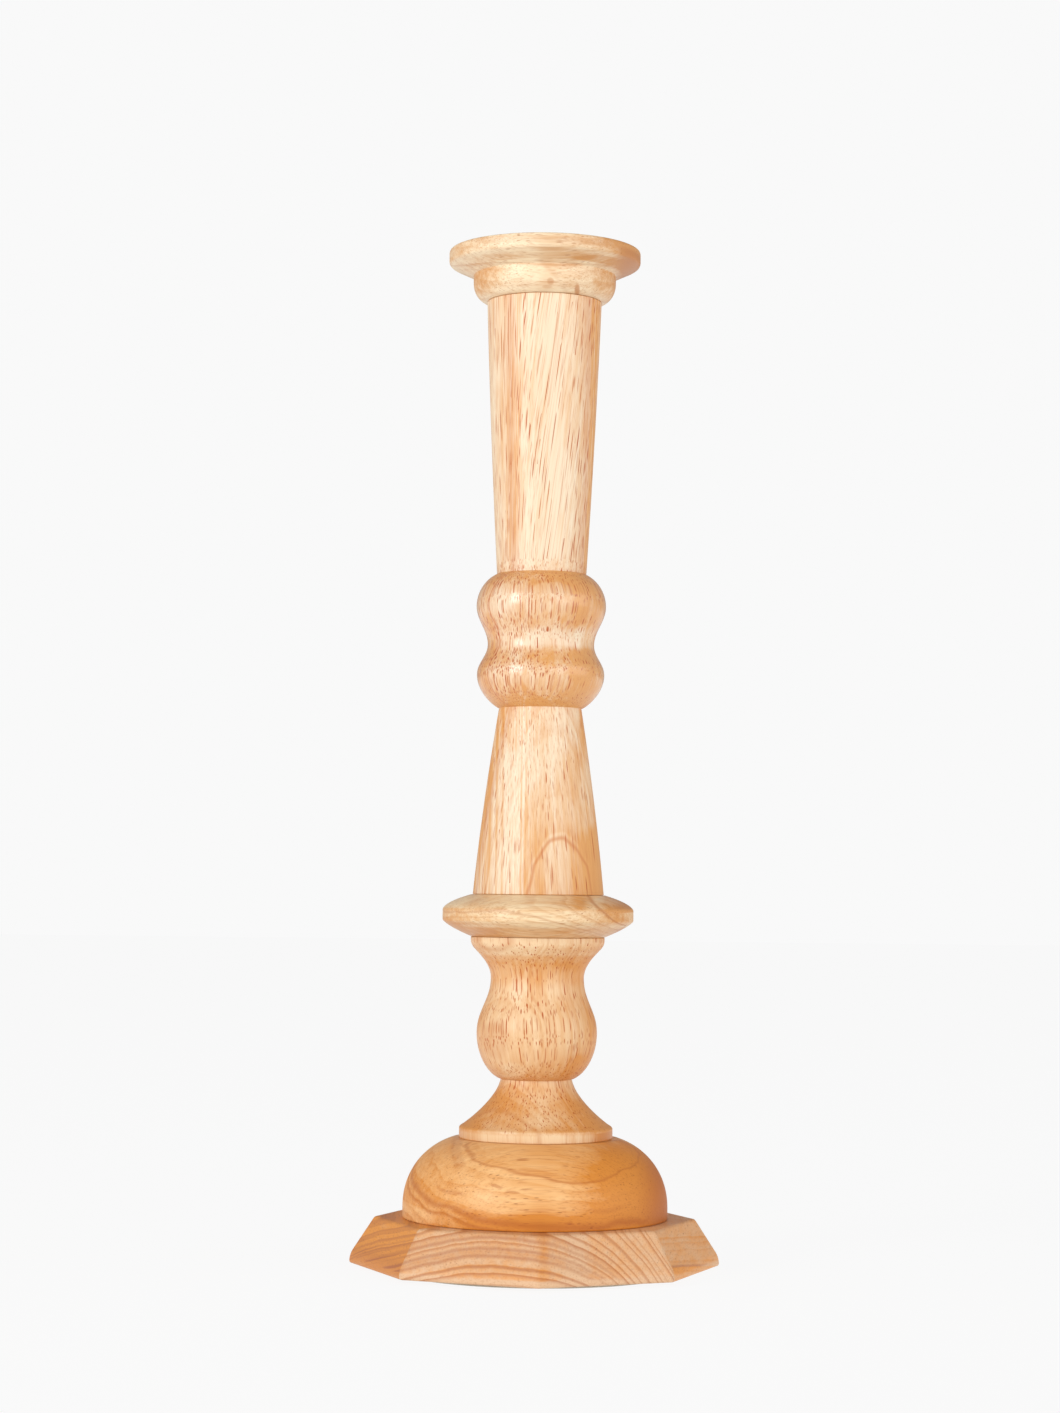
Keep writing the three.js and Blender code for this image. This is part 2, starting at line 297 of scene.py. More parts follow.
# a vector has no value of its own, a number is a float and four numbers are a colour
def startGroup(name, inputs, outputs):
    tree = bpy.data.node_groups.new(name, "ShaderNodeTree")
    for label, value in inputs.items():
        kind = "Vector" if value is None else "Color" if isinstance(value, tuple) else "Float"
        socket = tree.interface.new_socket(label, in_out="INPUT", socket_type="NodeSocket" + kind)
        if value is not None:
            socket.default_value = value
    for label in outputs:
        kind = "Color" if label == "Colour" else "Float"
        tree.interface.new_socket(label, in_out="OUTPUT", socket_type="NodeSocket" + kind)
    return tree, tree.nodes.new("NodeGroupInput").outputs, tree.nodes.new("NodeGroupOutput")


def placeGroup(group, inputs):
    node = treeOf(inputs.values()).nodes.new("ShaderNodeGroup")
    node.node_tree = group
    return connect(node, inputs).outputs


# a colour as it looks on a screen, from 0 to 255, made linear
def tint(red, green, blue):
    def linear(channel):
        share = channel / 255
        return share / 12.92 if share < 0.04045 else ((share + 0.055) / 1.055) ** 2.4
    return (linear(red), linear(green), linear(blue), 1)


glueLine = 0.05

camera = dict(
    distance=1007.1,
    height=127.45,
    aside=-3.45,
    pitch=3.405,  # degrees up
    roll=0.628,
    turn=-1.0,  # degrees round the candlestick
    lens=76.433,
)


def placeCamera():
    data = bpy.data.cameras.new("camera")
    data.sensor_width = 36
    data.lens = camera["lens"]
    data.clip_start = 0.01
    data.clip_end = 50
    eye = bpy.data.objects.new("camera", data)
    bpy.context.scene.collection.objects.link(eye)
    turn = Matrix.Rotation(math.radians(camera["turn"]), 4, "Z")
    tilt = Matrix.Rotation(math.radians(90 + camera["pitch"]), 4, "X")
    roll = Matrix.Rotation(math.radians(camera["roll"]), 4, "Z")
    stand = Matrix.Translation((camera["aside"] * mm, -camera["distance"] * mm, camera["height"] * mm))
    eye.matrix_world = turn @ stand @ tilt @ roll
    bpy.context.scene.camera = eye


placeCamera()
print("camera placed")


def cutAway(piece, cutters):
    for cutter in cutters:
        modifier = piece.modifiers.new("hole", "BOOLEAN")
        modifier.operation = "DIFFERENCE"
        modifier.solver = "EXACT"
        modifier.object = cutter
    settle(piece)
    for cutter in cutters:
        bpy.data.objects.remove(cutter)


# applies a piece's modifiers
def settle(piece):
    bpy.context.view_layer.update()
    graph = bpy.context.evaluated_depsgraph_get()
    mesh = bpy.data.meshes.new_from_object(piece.evaluated_get(graph))
    piece.modifiers.clear()
    old = piece.data
    piece.data = mesh
    bpy.data.meshes.remove(old)
    mesh.name = piece.name


def softenShading(piece, degrees=50):
    piece.data.shade_smooth()
    piece.data.set_sharp_from_angle(angle=math.radians(degrees))


pan = dict(
    ovoloWidth=5.3, ovoloHeight=6.4,
    neckRadius=24.1, neckBand=2.5,
    undersideRise=3.9,
    rimRadius=32.4, rimBand=4.6, rimWall=2.4, rimEase=0.75,
    topEase=1.3, lowEase=1.0,
    dishSide=5.5, dishDepth=4.5, dishCurve=0.55,
    socketRadius=15.8, socketDepth=8.5,
    cupHole=12.1,
)


def makePan(material):
    neck, rim, side, socket, socketDepth, hole = named(
            pan, "neckRadius rimRadius dishSide socketRadius socketDepth cupHole")
    ovoloTop = pan["ovoloHeight"]
    neckTop = ovoloTop + pan["neckBand"]
    rimBase = neckTop + pan["undersideRise"]
    top = rimBase + pan["rimBand"]
    floor = top - pan["dishDepth"]
    inner = rim - pan["rimWall"]
    start = neck - pan["ovoloWidth"]
    outline = [(socket, 0), (start, 0)]
    steps = 16
    for step in range(1, steps + 1):
        angle = math.pi / 2 * (step / steps)
        outline.append((start + pan["ovoloWidth"] * math.sin(angle), ovoloTop * (1 - math.cos(angle))))
    outline += [(neck, neckTop), (rim, rimBase), (rim, top), (inner, top)]
    bendTo(outline, (inner - pan["dishCurve"] * side, floor), (inner - side, floor))
    outline += [(hole, floor), (hole, socketDepth), (socket, socketDepth), (socket, 0)]
    own = {(rim, top): pan["topEase"], (rim, rimBase): pan["lowEase"]}
    piece = turnedPiece("turned_pan", eased(outline, pan["rimEase"], own=own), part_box("drip_pan")[0].z)
    dress(piece, "drip_pan", material)


column = dict(
    foot=21.95, throat=13.85, lowerTaper=62.4, lowerSwell=0.5,
    lowerBead=21.42, lowerBeadRise=11.3, lowerBeadStart=0.32,
    waist=17.9, waistRise=10.2,
    upperBead=21.8, upperBeadRise=12.9, upperBeadReach=0.37,
    close=10.8,
    shaft=15.05, head=19.35, upperTaper=92.5, upperSwell=0.27,
    lowerTenon=9, lowerTenonLength=32.1,
    upperTenon=15.5, upperTenonLength=8,
    cupHole=12.1, cupHoleDepth=9.3,
    pilot=1.8, pilotDepth=24.35,
    ease=0.35,
)


def makeColumn(material):
    tenon, tenonLength, upperTenon, cupHole, pilot = named(
            column, "lowerTenon lowerTenonLength upperTenon cupHole pilot")
    knopBase = column["lowerTaper"]
    lowerBeadAt = knopBase + column["lowerBeadRise"]
    waistAt = lowerBeadAt + column["waistRise"]
    upperBeadAt = waistAt + column["upperBeadRise"]
    shaftBase = upperBeadAt + column["close"]
    top = shaftBase + column["upperTaper"]
    tenonTop = top + column["upperTenonLength"]
    cupFloor = top - column["cupHoleDepth"]
    pilotEnd = top - column["pilotDepth"]
    outline = [(0, -tenonLength), (tenon, -tenonLength), (tenon, 0), (column["foot"], 0)]
    taperTo(outline, column["throat"], knopBase, column["lowerSwell"])
    roundOutTo(outline, column["lowerBead"], lowerBeadAt, column["lowerBeadStart"])
    swellTo(outline, column["waist"], waistAt)
    swellTo(outline, column["upperBead"], upperBeadAt, column["upperBeadReach"])
    roundInTo(outline, column["shaft"], shaftBase)
    taperTo(outline, column["head"], top, column["upperSwell"])
    outline += [(upperTenon, top), (upperTenon, tenonTop), (cupHole, tenonTop), (cupHole, cupFloor),
            (pilot, cupFloor), (pilot, pilotEnd), (0, pilotEnd)]
    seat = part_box("collar")[1].z + glueLine * mm
    piece = turnedPiece("turned_column", eased(outline, column["ease"]), seat)
    dress(piece, "column", material)


collar = dict(
    radius=31.95, face=22.4,
    lowerBevel=5.4, band=3.7, upperBevel=4.9,
    lowerCurve=(0.21, 0.575), upperCurve=0.12,
    bore=9.3,
    ease=0.4,
)


def makeCollar(material):
    radius, face, bore, lowerBevel = named(collar, "radius face bore lowerBevel")
    bandTop = lowerBevel + collar["band"]
    top = bandTop + collar["upperBevel"]
    slope = radius - face
    inward, upward = collar["lowerCurve"]
    outline = [(bore, 0), (face, 0)]
    bendTo(outline, (radius - inward * slope, upward * lowerBevel), (radius, lowerBevel))
    outline.append((radius, bandTop))
    bendTo(outline, (radius - collar["upperCurve"] * slope, (bandTop + top) / 2), (face, top))
    outline += [(bore, top), (bore, 0)]
    piece = turnedPiece("turned_collar", eased(outline, collar["ease"]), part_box("collar")[0].z)
    dress(piece, "collar", material)


baluster = dict(
    rim=25.6, rimRise=3.2,
    shoulder=24.3, shoulderRise=1.3,
    neck=11.9, neckRise=15, flareCurve=(0.32, 0.19, 0.08, 0.37),
    bulb=20.12, bulbRise=15.4, bulbStart=0.52,
    waist=15.57, waistRise=18.1,
    lipInset=1.2, lipRise=9.9, lipCurve=(0.45, 0.58, 0.74),
    flange=22.4, flangeRise=2.7, flangeBand=1.2,
    tenon=10, tenonLength=25.2,
    mortise=9.3, mortiseDepth=19,
    pilot=2.8, pilotEnd=6.7,
    ease=0.35,
)


def makeBaluster(material):
    rim, shoulder, neck, waist, flange, tenon, tenonLength, mortise, pilot, pilotEnd = named(
            baluster, "rim shoulder neck waist flange tenon tenonLength mortise pilot pilotEnd")
    neckRise, lipRise = named(baluster, "neckRise lipRise")
    rimTop = baluster["rimRise"]
    shoulderAt = rimTop + baluster["shoulderRise"]
    neckAt = shoulderAt + neckRise
    bulbAt = neckAt + baluster["bulbRise"]
    waistAt = bulbAt + baluster["waistRise"]
    lipAt = waistAt + lipRise
    edgeAt = lipAt + baluster["flangeRise"]
    top = edgeAt + baluster["flangeBand"]
    mortiseFloor = top - baluster["mortiseDepth"]
    outline = [(0, pilotEnd), (pilot, pilotEnd), (pilot, -tenonLength), (tenon, -tenonLength), (tenon, 0),
            (rim, 0), (rim, rimTop)]
    bendTo(outline, (rim, (rimTop + shoulderAt) / 2), (shoulder, shoulderAt), 6)
    flare = shoulder - neck
    lowInward, lowUp, highOutward, highDown = baluster["flareCurve"]
    bezierTo(outline, (shoulder - lowInward * flare, shoulderAt + lowUp * neckRise),
            (neck + highOutward * flare, neckAt - highDown * neckRise), (neck, neckAt), 24)
    roundOutTo(outline, baluster["bulb"], bulbAt, baluster["bulbStart"], 24)
    swellTo(outline, waist, waistAt, steps=24)
    lip = flange - baluster["lipInset"]
    sweep = lip - waist
    lowUp, outward, highUp = baluster["lipCurve"]
    bezierTo(outline, (waist, waistAt + lowUp * lipRise),
            (waist + outward * sweep, waistAt + highUp * lipRise), (lip, lipAt), 20)
    bendTo(outline, (flange, (lipAt + edgeAt) / 2), (flange, edgeAt), 6)
    outline += [(flange, top), (mortise, top), (mortise, mortiseFloor), (0, mortiseFloor)]
    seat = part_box("dome")[1].z + glueLine * mm
    piece = turnedPiece("turned_baluster", eased(outline, baluster["ease"]), seat)
    dress(piece, "baluster", material)


dome = dict(
    radius=44.1, height=26.2, wall=3.5,
    crownWidth=24.9, crownOver=1.3, fullness=2.1,
    bore=10.3,
    screwHole=2.05, screwHoleTop=15.6,
    ease=0.5,
)
plinthScrewCircle = 32
plinthScrewAngles = (45, 135, 225, 315)
drillStart = -2


def makeDome(material):
    radius, wall, width, fullness, bore = named(dome, "radius wall crownWidth fullness bore")
    rise = dome["height"] - wall
    outline = [(bore, 0), (radius, 0), (radius, wall)]
    steps = 40
    for step in range(1, steps + 1):
        climb = rise * math.sin(step / steps * math.pi / 2)
        left = 1 - (climb / (rise + dome["crownOver"])) ** fullness
        outline.append((radius - width + width * left ** (1 / fullness), wall + climb))
    outline += [(bore, dome["height"]), (bore, 0)]
    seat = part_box("dome")[0].z
    piece = turnedPiece("turned_dome", eased(outline, dome["ease"]), seat)
    cutAway(piece, plinthScrewDrills(straightDrill(dome["screwHole"], dome["screwHoleTop"]), seat, 24))
    softenShading(piece)
    dress(piece, "dome", material)


# outline of a cutter that starts below the seat
def straightDrill(radius, top):
    return [(0, drillStart), (radius, drillStart), (radius, top), (0, top)]


def plinthScrewDrills(outline, seat, sides):
    drills = []
    for angle in plinthScrewAngles:
        drill = turnedPiece("drill", outline, seat, sides)
        drill.data.transform(Matrix.Translation(polar(plinthScrewCircle * mm, math.radians(angle), 0)))
        drills.append(drill)
    return drills


plinth = dict(
    corner=61.7, slope=8.3, height=15.5, band=2.8,
    ease=1.0, bandEase=1.9,
    bore=2.8, through=20,
    pocket=8.5, pocketDepth=7,
    screwHole=2.3, sink=4.2, sinkEdge=0.63, sinkDepth=2.35,
)


def makePlinth(material):
    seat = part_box("plinth")[0].z
    corner, band, sink, hole, through = named(plinth, "corner band sink screwHole through")
    levels = [(corner, 0), (corner, band), (corner - plinth["slope"], plinth["height"])]
    points = [polar(radius * mm, math.pi / 4 * side, seat + height * mm)
            for radius, height in levels for side in range(8)]
    rings = [range(first, first + 8) for first in (0, 8, 16)]
    faces = [tuple(reversed(rings[0])), tuple(rings[-1])] + facesBetween(rings)
    piece = meshPiece("base_plinth", points, faces)
    shape = bmesh.new()
    shape.from_mesh(piece.data)
    bandTop = seat + band * mm
    edges = [edge for edge in shape.edges
            if all(abs(vertex.co.z - bandTop) < 1e-6 for vertex in edge.verts)]
    bmesh.ops.bevel(shape, geom=edges, offset=plinth["bandEase"] * mm, segments=5, affect="EDGES",
            profile=0.5)
    shape.to_mesh(piece.data)
    shape.free()
    ease = piece.modifiers.new("ease", "BEVEL")
    ease.width = plinth["ease"] * mm
    ease.segments = 4
    ease.limit_method = "ANGLE"
    ease.angle_limit = math.radians(20)
    settle(piece)
    outline = [(0, drillStart), (sink, drillStart), (sink, plinth["sinkEdge"]), (hole, plinth["sinkDepth"]),
            (hole, through), (0, through)]
    cutAway(piece, [turnedPiece("bore", straightDrill(plinth["bore"], through), seat, 48),
            turnedPiece("pocket", straightDrill(plinth["pocket"], plinth["pocketDepth"]), seat, 96),
            *plinthScrewDrills(outline, seat, 48)])
    softenShading(piece, 35)
    flatten = piece.modifiers.new("flatten", "WEIGHTED_NORMAL")
    flatten.keep_sharp = True
    flatten.weight = 90
    settle(piece)
    dress(piece, "plinth", material)


cup = dict(
    bore=11, wall=0.8, floor=1.8,
    flangeWidth=3.4, flangeThickness=0.8,
    depth=22,
    screwHole=1.8, sink=3.2, sinkEdge=0.4, sinkDepth=1.5,
    ease=0.3,
)


def makeCup(material):
    bore, depth, thickness, hole, sink = named(cup, "bore depth flangeThickness screwHole sink")
    body = bore + cup["wall"]
    flange = body + cup["flangeWidth"]
    floor = cup["floor"] - depth
    outline = [(hole, -depth), (body, -depth), (body, 0), (flange, 0), (flange, thickness),
            (bore, thickness), (bore, floor), (sink, floor), (sink, floor - cup["sinkEdge"]),
            (hole, floor - cup["sinkDepth"]), (hole, -depth)]
    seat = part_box("candle_cup")[0].z + depth * mm
    piece = turnedPiece("candle_cup_lining", eased(outline, cup["ease"]), seat)
    softenShading(piece, 60)
    dress(piece, "candle_cup", material)


screws = dict(
    cup_screw=dict(radius=1.5, length=16, head=2.8, headHeight=1.3, tip=3, pitch=1.1),
    base_screw=dict(radius=2.5, length=45, head=4.8, headHeight=3.2, tip=5, pitch=1.9),
    plinth_screw=dict(radius=2, length=30, head=3.9, headHeight=2.2, tip=4.5, pitch=1.6),
)


# shares of a screw's radius, length or head
screwForm = dict(
    point=0.02, core=0.66, sharpness=0.8,
    thread=0.3, threadGrowth=1.6, crest=0.34,
    plainShank=0.12,
    recessLength=0.62, recessWidth=0.3, recessDepth=0.6,
    recessEnd=0.55, recessNarrow=0.7,
)


# a wood screw, face up at height 0 and point down, with one helical thread
def screwMesh(name, size, countersunk, sides=40, stepsInPitch=8):
    radius, length, head, headHeight, pitch = named(size, "radius length head headHeight pitch")
    core, point, thread = named(screwForm, "core point thread")
    shank = headHeight + screwForm["plainShank"] * length
    rings = [(point, -length, 0)]
    count = int((length - shank) / pitch * stepsInPitch)
    for step in range(1, count + 1):
        height = -length + (length - shank) * step / count
        grown = min(1, (height + length) / size["tip"])
        fade = min(1, (-shank - height) / pitch)
        rings.append((radius * (core * grown ** screwForm["sharpness"] + point), height,
                thread * radius * min(grown * screwForm["threadGrowth"], 1) * fade))
    profile = [(radius * 0.72, -shank + 0.3), (radius * 0.95, -headHeight - 0.3),
            (radius * 0.98, -headHeight)]
    if countersunk:
        profile += [(head - 0.06, -headHeight * 0.19), (head, -headHeight * 0.13), (head, -0.08),
                (head - 0.08, 0)]
    else:
        profile += [(head - 0.1, -headHeight), (head, -headHeight + 0.1), (head, -headHeight * 0.5),
                (head * 0.94, -headHeight * 0.26), (head * 0.8, -headHeight * 0.08), (head * 0.6, 0)]
    rings += [(r, h, 0) for r, h in profile]
    points = []
    for inner, height, ridge in rings:
        for side in range(sides):
            share = side / sides
            phase = (height / pitch - share) % 1
            crest = max(0, 1 - abs(phase - 0.5) / screwForm["crest"])
            reach = (inner + ridge * crest) * mm
            points.append(polar(reach, 2 * math.pi * share, height * mm))
    levels = [range(first, first + sides) for first in range(0, len(points), sides)]
    ends = tuple(reversed(levels[0])), tuple(levels[-1])
    piece = meshPiece(name, points, [ends[0], *facesBetween(levels), ends[1]])
    cutters = []
    recess, width = named(screwForm, "recessLength recessWidth")
    depth = headHeight * screwForm["recessDepth"]
    for turn in (0, 90):
        slotMesh = bmesh.new()
        bmesh.ops.create_cube(slotMesh, size=1)
        for vertex in slotMesh.verts:
            low = vertex.co.z < 0
            vertex.co.x *= 2 * head * recess * (screwForm["recessEnd"] if low else 1) * mm
            vertex.co.y *= head * width * (screwForm["recessNarrow"] if low else 1) * mm
            vertex.co.z *= 2 * depth * mm
        bmesh.ops.rotate(slotMesh, verts=slotMesh.verts, matrix=Matrix.Rotation(math.radians(turn), 3, "Z"))
        cutterMesh = bpy.data.meshes.new("recess")
        slotMesh.to_mesh(cutterMesh)
        slotMesh.free()
        cutter = bpy.data.objects.new("recess", cutterMesh)
        bpy.context.scene.collection.objects.link(cutter)
        cutters.append(cutter)
    cutAway(piece, cutters)
    softenShading(piece, 40)
    return piece


def makeScrews(brass, steel):
    piece = screwMesh("cup_fixing", screws["cup_screw"], True)
    piece.data.transform(Matrix.Translation((0, 0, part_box("cup_screw")[1].z)))
    dress(piece, "cup_screw", brass)
    upward = Matrix.Rotation(math.pi, 4, "X")
    piece = screwMesh("stem_fixing", screws["base_screw"], False)
    piece.data.transform(Matrix.Translation((0, 0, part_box("base_screw")[0].z)) @ upward)
    dress(piece, "base_screw", steel)
    for index, angle in enumerate(plinthScrewAngles, 1):
        node = f"plinth_screw_{index}"
        piece = screwMesh(f"plinth_fixing_{index}", screws["plinth_screw"], True)
        lowest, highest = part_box(node)
        middle = (lowest + highest) / 2
        turn = Matrix.Rotation(math.radians(17 * index), 4, "Z")
        piece.data.transform(Matrix.Translation((middle.x, middle.y, lowest.z)) @ turn @ upward)
        dress(piece, node, steel)


washer = dict(hole=2.8, radius=7.5, thickness=1.2, ease=0.2)


def makeWasher(material):
    hole, radius, thickness = named(washer, "hole radius thickness")
    outline = [(hole, 0), (radius, 0), (radius, thickness), (hole, thickness), (hole, 0)]
    piece = turnedPiece("stem_washer", eased(outline, washer["ease"]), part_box("base_washer")[0].z, 96)
    softenShading(piece, 60)
    dress(piece, "base_washer", material)


feltPad = dict(radius=49.0, thickness=1.5, ease=0.4)


def makeFelt(material):
    radius, thickness = named(feltPad, "radius thickness")
    outline = [(0, 0), (radius * 0.5, 0), (radius, 0), (radius, thickness), (radius * 0.5, thickness),
            (0, thickness)]
    piece = turnedPiece("felt_disc", eased(outline, feltPad["ease"]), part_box("felt_pad")[0].z)
    dress(piece, "felt_pad", material)


# fine fibres and broader streaks that run along Z of the place, which is in millimetres
def makeFibreGroup():
    tree, value, result = startGroup("woodFibres", {"Place": None, "Length": 16.0, "Width": 0.4},
            ("Fibre", "Streak"))
    place, length, width = named(value, "Place Length Width")
    fine = noise(vectors("DIVIDE", place, vectorOf(width, width, length)), 1, 2, 0.65)
    broad = times(width, 4.5)
    broadPlace = vectors("DIVIDE", place, vectorOf(broad, broad, times(length, 2.6)))
    wide = noise(vectors("ADD", broadPlace, (7.3, 2.9, 5.1)), 1, 3, 0.6)
    connect(result, {"Fibre": remap(fine, 0.28, 0.72, kind="LINEAR"),
            "Streak": remap(wide, 0.3, 0.7, kind="LINEAR")})
    return tree


# open vessels cut by the lathe: long ones, and short dark ones between them
def makeVesselGroup():
    tree, value, result = startGroup("woodVessels",
            {"Place": None, "Spacing": 0.9, "Width": 0.4, "Length": 40.0, "Short Length": 9.0,
            "Amount": 0.5, "Dark Amount": 0.5}, ("Vessels", "Dark"))
    slow = vectors("MULTIPLY", value["Place"], (0.09, 0.09, 0.018))
    sway = noise(slow, 1, 1, output="Color")
    bent = vectors("MULTIPLY_ADD", sway, (1.6, 1.6, 0), value["Place"])
    radius = times(over(value["Width"], value["Spacing"]), 0.5)
    share = remap(noise(slow, 3.2, 1), 0.3, 0.7, 0.55, 1.45, "LINEAR")

    def tubes(length, amount, shift, thinnest):
        size = vectorOf(value["Spacing"], value["Spacing"], length)
        inCells = vectors("DIVIDE", vectors("ADD", bent, shift), size)
        cells = addNode("ShaderNodeTexVoronoi",
                {"Vector": inCells, "Scale": 1.0, "Randomness": 1.0}).outputs
        chance = addNode("ShaderNodeSeparateColor", {"Color": cells["Color"]}).outputs
        own = times(radius, remap(chance["Blue"], 0, 1, thinnest, 1.2, "LINEAR"))
        near = remap(over(cells["Distance"], own), 0.6, 1.25, 1, 0)
        kept = calculate("LESS_THAN", chance["Red"], times(amount, share))
        return times(near, kept, remap(chance["Green"], 0, 1, 0.35, 1, "LINEAR"))

    long = tubes(value["Length"], value["Amount"], (0, 0, 0), 0.6)
    more = tubes(value["Length"], value["Amount"], (31.7, 12.3, 55.1), 0.5)
    dark = tubes(value["Short Length"], value["Dark Amount"], (9.3, 41.9, 23.3), 0.7)
    connect(result, {"Vessels": either(long, more), "Dark": dark})
    return tree


# growth rings from a distance across them, in millimetres
def makeRingGroup():
    tree, value, result = startGroup("growthRings",
            {"Place": None, "Growth": 0.0, "Spacing": 3.0, "Wander": 0.8, "Seed": 0.0},
            ("Ring", "Line", "Growth"))
    sway = noise(vectors("MULTIPLY", value["Place"], (0.085, 0.085, 0.03)), 1, 2, 0.45)
    swing = times(less(sway, 0.5), 5)
    moved = timesPlus(swing, value["Wander"], value["Growth"])
    turns = total(over(moved, value["Spacing"]), value["Seed"])
    phase = timesPlus(noiseAlong(turns, 0.55, 1), 1.6, turns)
    year = calculate("FLOOR", phase)
    season = calculate("FRACT", phase)
    strength = addNode("ShaderNodeTexWhiteNoise", {"W": year}, noise_dimensions="1D").outputs["Value"]
    late = calculate("POWER", season, 2.4)
    weight = remap(strength, 0, 1, 0.35, 1, "LINEAR")
    peak = times(remap(season, 0.5, 0.84), remap(season, 0.88, 0.99, 1, 0))
    connect(result, {"Ring": times(late, remap(season, 0.93, 1.0, 1, 0), weight),
            "Line": times(peak, weight), "Growth": moved})
    return tree


# the last coat: colour, roughness and relief from the masks
def makeFinishGroup():
    tree, value, result = startGroup("oiledWood",
            {"Place": None, "Warmth": 0.3, "Line": 0.0, "Fibre": 0.5, "Streak": 0.5, "Vessels": 0.0,
            "Dark": 0.0, "End Grain": 0.0, "Pale": (0.7, 0.55, 0.4, 1), "Warm": (0.7, 0.38, 0.17, 1),
            "Line Colour": (0.55, 0.27, 0.14, 1), "Vessel Colour": (0.4, 0.16, 0.06, 1),
            "Fibre Strength": 0.3, "Vessel Strength": 0.5, "End Strength": 0.3, "Gloss": 0.36},
            ("Colour", "Roughness", "Height"))
    drift = times(less(noise(value["Place"], 0.055, 2), 0.5), 0.7)
    streak = times(less(value["Streak"], 0.5), value["Fibre Strength"])
    warmth = total(value["Warmth"], total(drift, streak))
    warmth = timesPlus(value["End Grain"], value["End Strength"], warmth)
    warmth = either(calculate("MINIMUM", warmth, 1.35), -0.3)
    colour = mixColour(warmth, value["Pale"], value["Warm"])
    colour = mixColour(value["Line"], colour, value["Line Colour"])
    thin = times(remap(value["Fibre"], 0.45, 1.0), value["Fibre Strength"], 0.8)
    colour = mixColour(thin, colour, value["Line Colour"])
    opened = times(value["Vessels"], value["Vessel Strength"])
    between = mixColour(0.45, value["Line Colour"], value["Vessel Colour"])
    colour = mixColour(opened, colour, between)
    deep = times(value["Dark"], value["Vessel Strength"])
    handled = noise(value["Place"], 0.13, 3, 0.6)
    rough = timesPlus(handled, 0.12, less(value["Gloss"], 0.06))
    rough = timesPlus(value["End Grain"], 0.1, rough)
    sunk = timesPlus(value["Vessels"], 0.3, value["Dark"])
    connect(result, {"Colour": mixColour(deep, colour, value["Vessel Colour"]),
            "Roughness": timesPlus(deep, 0.25, rough), "Height": less(times(value["Fibre"], -0.25), sunk)})
    return tree


# cutter marks round the axis, with a dull bloom in patches
def makeMetalGroup():
    tree, value, result = startGroup("turnedMetal",
            {"Place": None, "Bright": (0.8, 0.6, 0.3, 1), "Dull": (0.4, 0.3, 0.15, 1), "Marks": 0.25,
            "Bloom": 0.5, "Polish": 0.3}, ("Colour", "Roughness", "Height"))
    axes = addNode("ShaderNodeSeparateXYZ", {"Vector": value["Place"]}).outputs
    square = total(times(axes["X"], axes["X"]), times(axes["Y"], axes["Y"]))
    across = total(calculate("SQRT", square), times(axes["Z"], 1.3))
    marks = noiseAlong(over(across, value["Marks"]), 1, 2)
    bloom = times(remap(noise(value["Place"], 0.45, 4, 0.65), 0.4, 0.68), value["Bloom"])
    fleck = noise(value["Place"], 3, 2)
    dull = timesPlus(remap(fleck, 0.6, 0.75), 0.25, bloom)
    dull = timesPlus(less(marks, 0.5), 0.3, dull)
    connect(result, {"Colour": mixColour(dull, value["Bright"], value["Dull"]),
            "Roughness": timesPlus(dull, 0.3, value["Polish"]), "Height": marks})
    return tree


# matted wool: short fibres lying every way, in three crossed layers
def makeFeltGroup():
    tree, value, result = startGroup("matFelt",
            {"Place": None, "Light": (0.7, 0.65, 0.58, 1), "Shade": (0.4, 0.35, 0.3, 1)},
            ("Colour", "Height"))
    hairs = None
    for turn in (12, 71, 133):
        laid = addNode("ShaderNodeMapping",
                {"Vector": value["Place"], "Rotation": (0.2, 0.1, math.radians(turn)),
                "Scale": (7.0, 0.9, 3.0)}).outputs[0]
        layer = remap(noise(laid, 1, 2, distortion=0.6), 0.45, 0.62)
        hairs = layer if hairs is None else either(times(hairs, 0.8), layer)
    clump = noise(value["Place"], 0.25, 3)
    light = timesPlus(clump, 0.6, times(hairs, 0.55))
    connect(result, {"Colour": mixColour(light, value["Shade"], value["Light"]),
            "Height": timesPlus(clump, 0.5, hairs)})
    return tree


woodFibres = makeFibreGroup()
woodVessels = makeVesselGroup()
growthRings = makeRingGroup()
oiledWood = makeFinishGroup()
turnedMetal = makeMetalGroup()
matFelt = makeFeltGroup()
print("material groups ready")


# a new material, its place in millimetres and its shader
def startMaterial(name):
    material = bpy.data.materials.new(name)
    material.use_nodes = True
    own = material.node_tree.nodes.new("ShaderNodeTexCoord").outputs["Object"]
    place = addNode("ShaderNodeMapping", {"Vector": own, "Scale": (1 / mm, 1 / mm, 1 / mm)}).outputs[0]
    return material, place, material.node_tree.nodes["Principled BSDF"]


def bump(height, strength, distance):
    inputs = {"Height": height, "Strength": strength, "Distance": distance}
    return addNode("ShaderNodeBump", inputs).outputs[0]


# 1 on a growth line that lies at one growth, fading over its width on either side
def lineAt(growth, where, width):
    return remap(calculate("ABSOLUTE", less(growth, where)), 0, width, 1, 0)


def mixValue(share, first, second):
    return timesPlus(less(second, first), share, first)


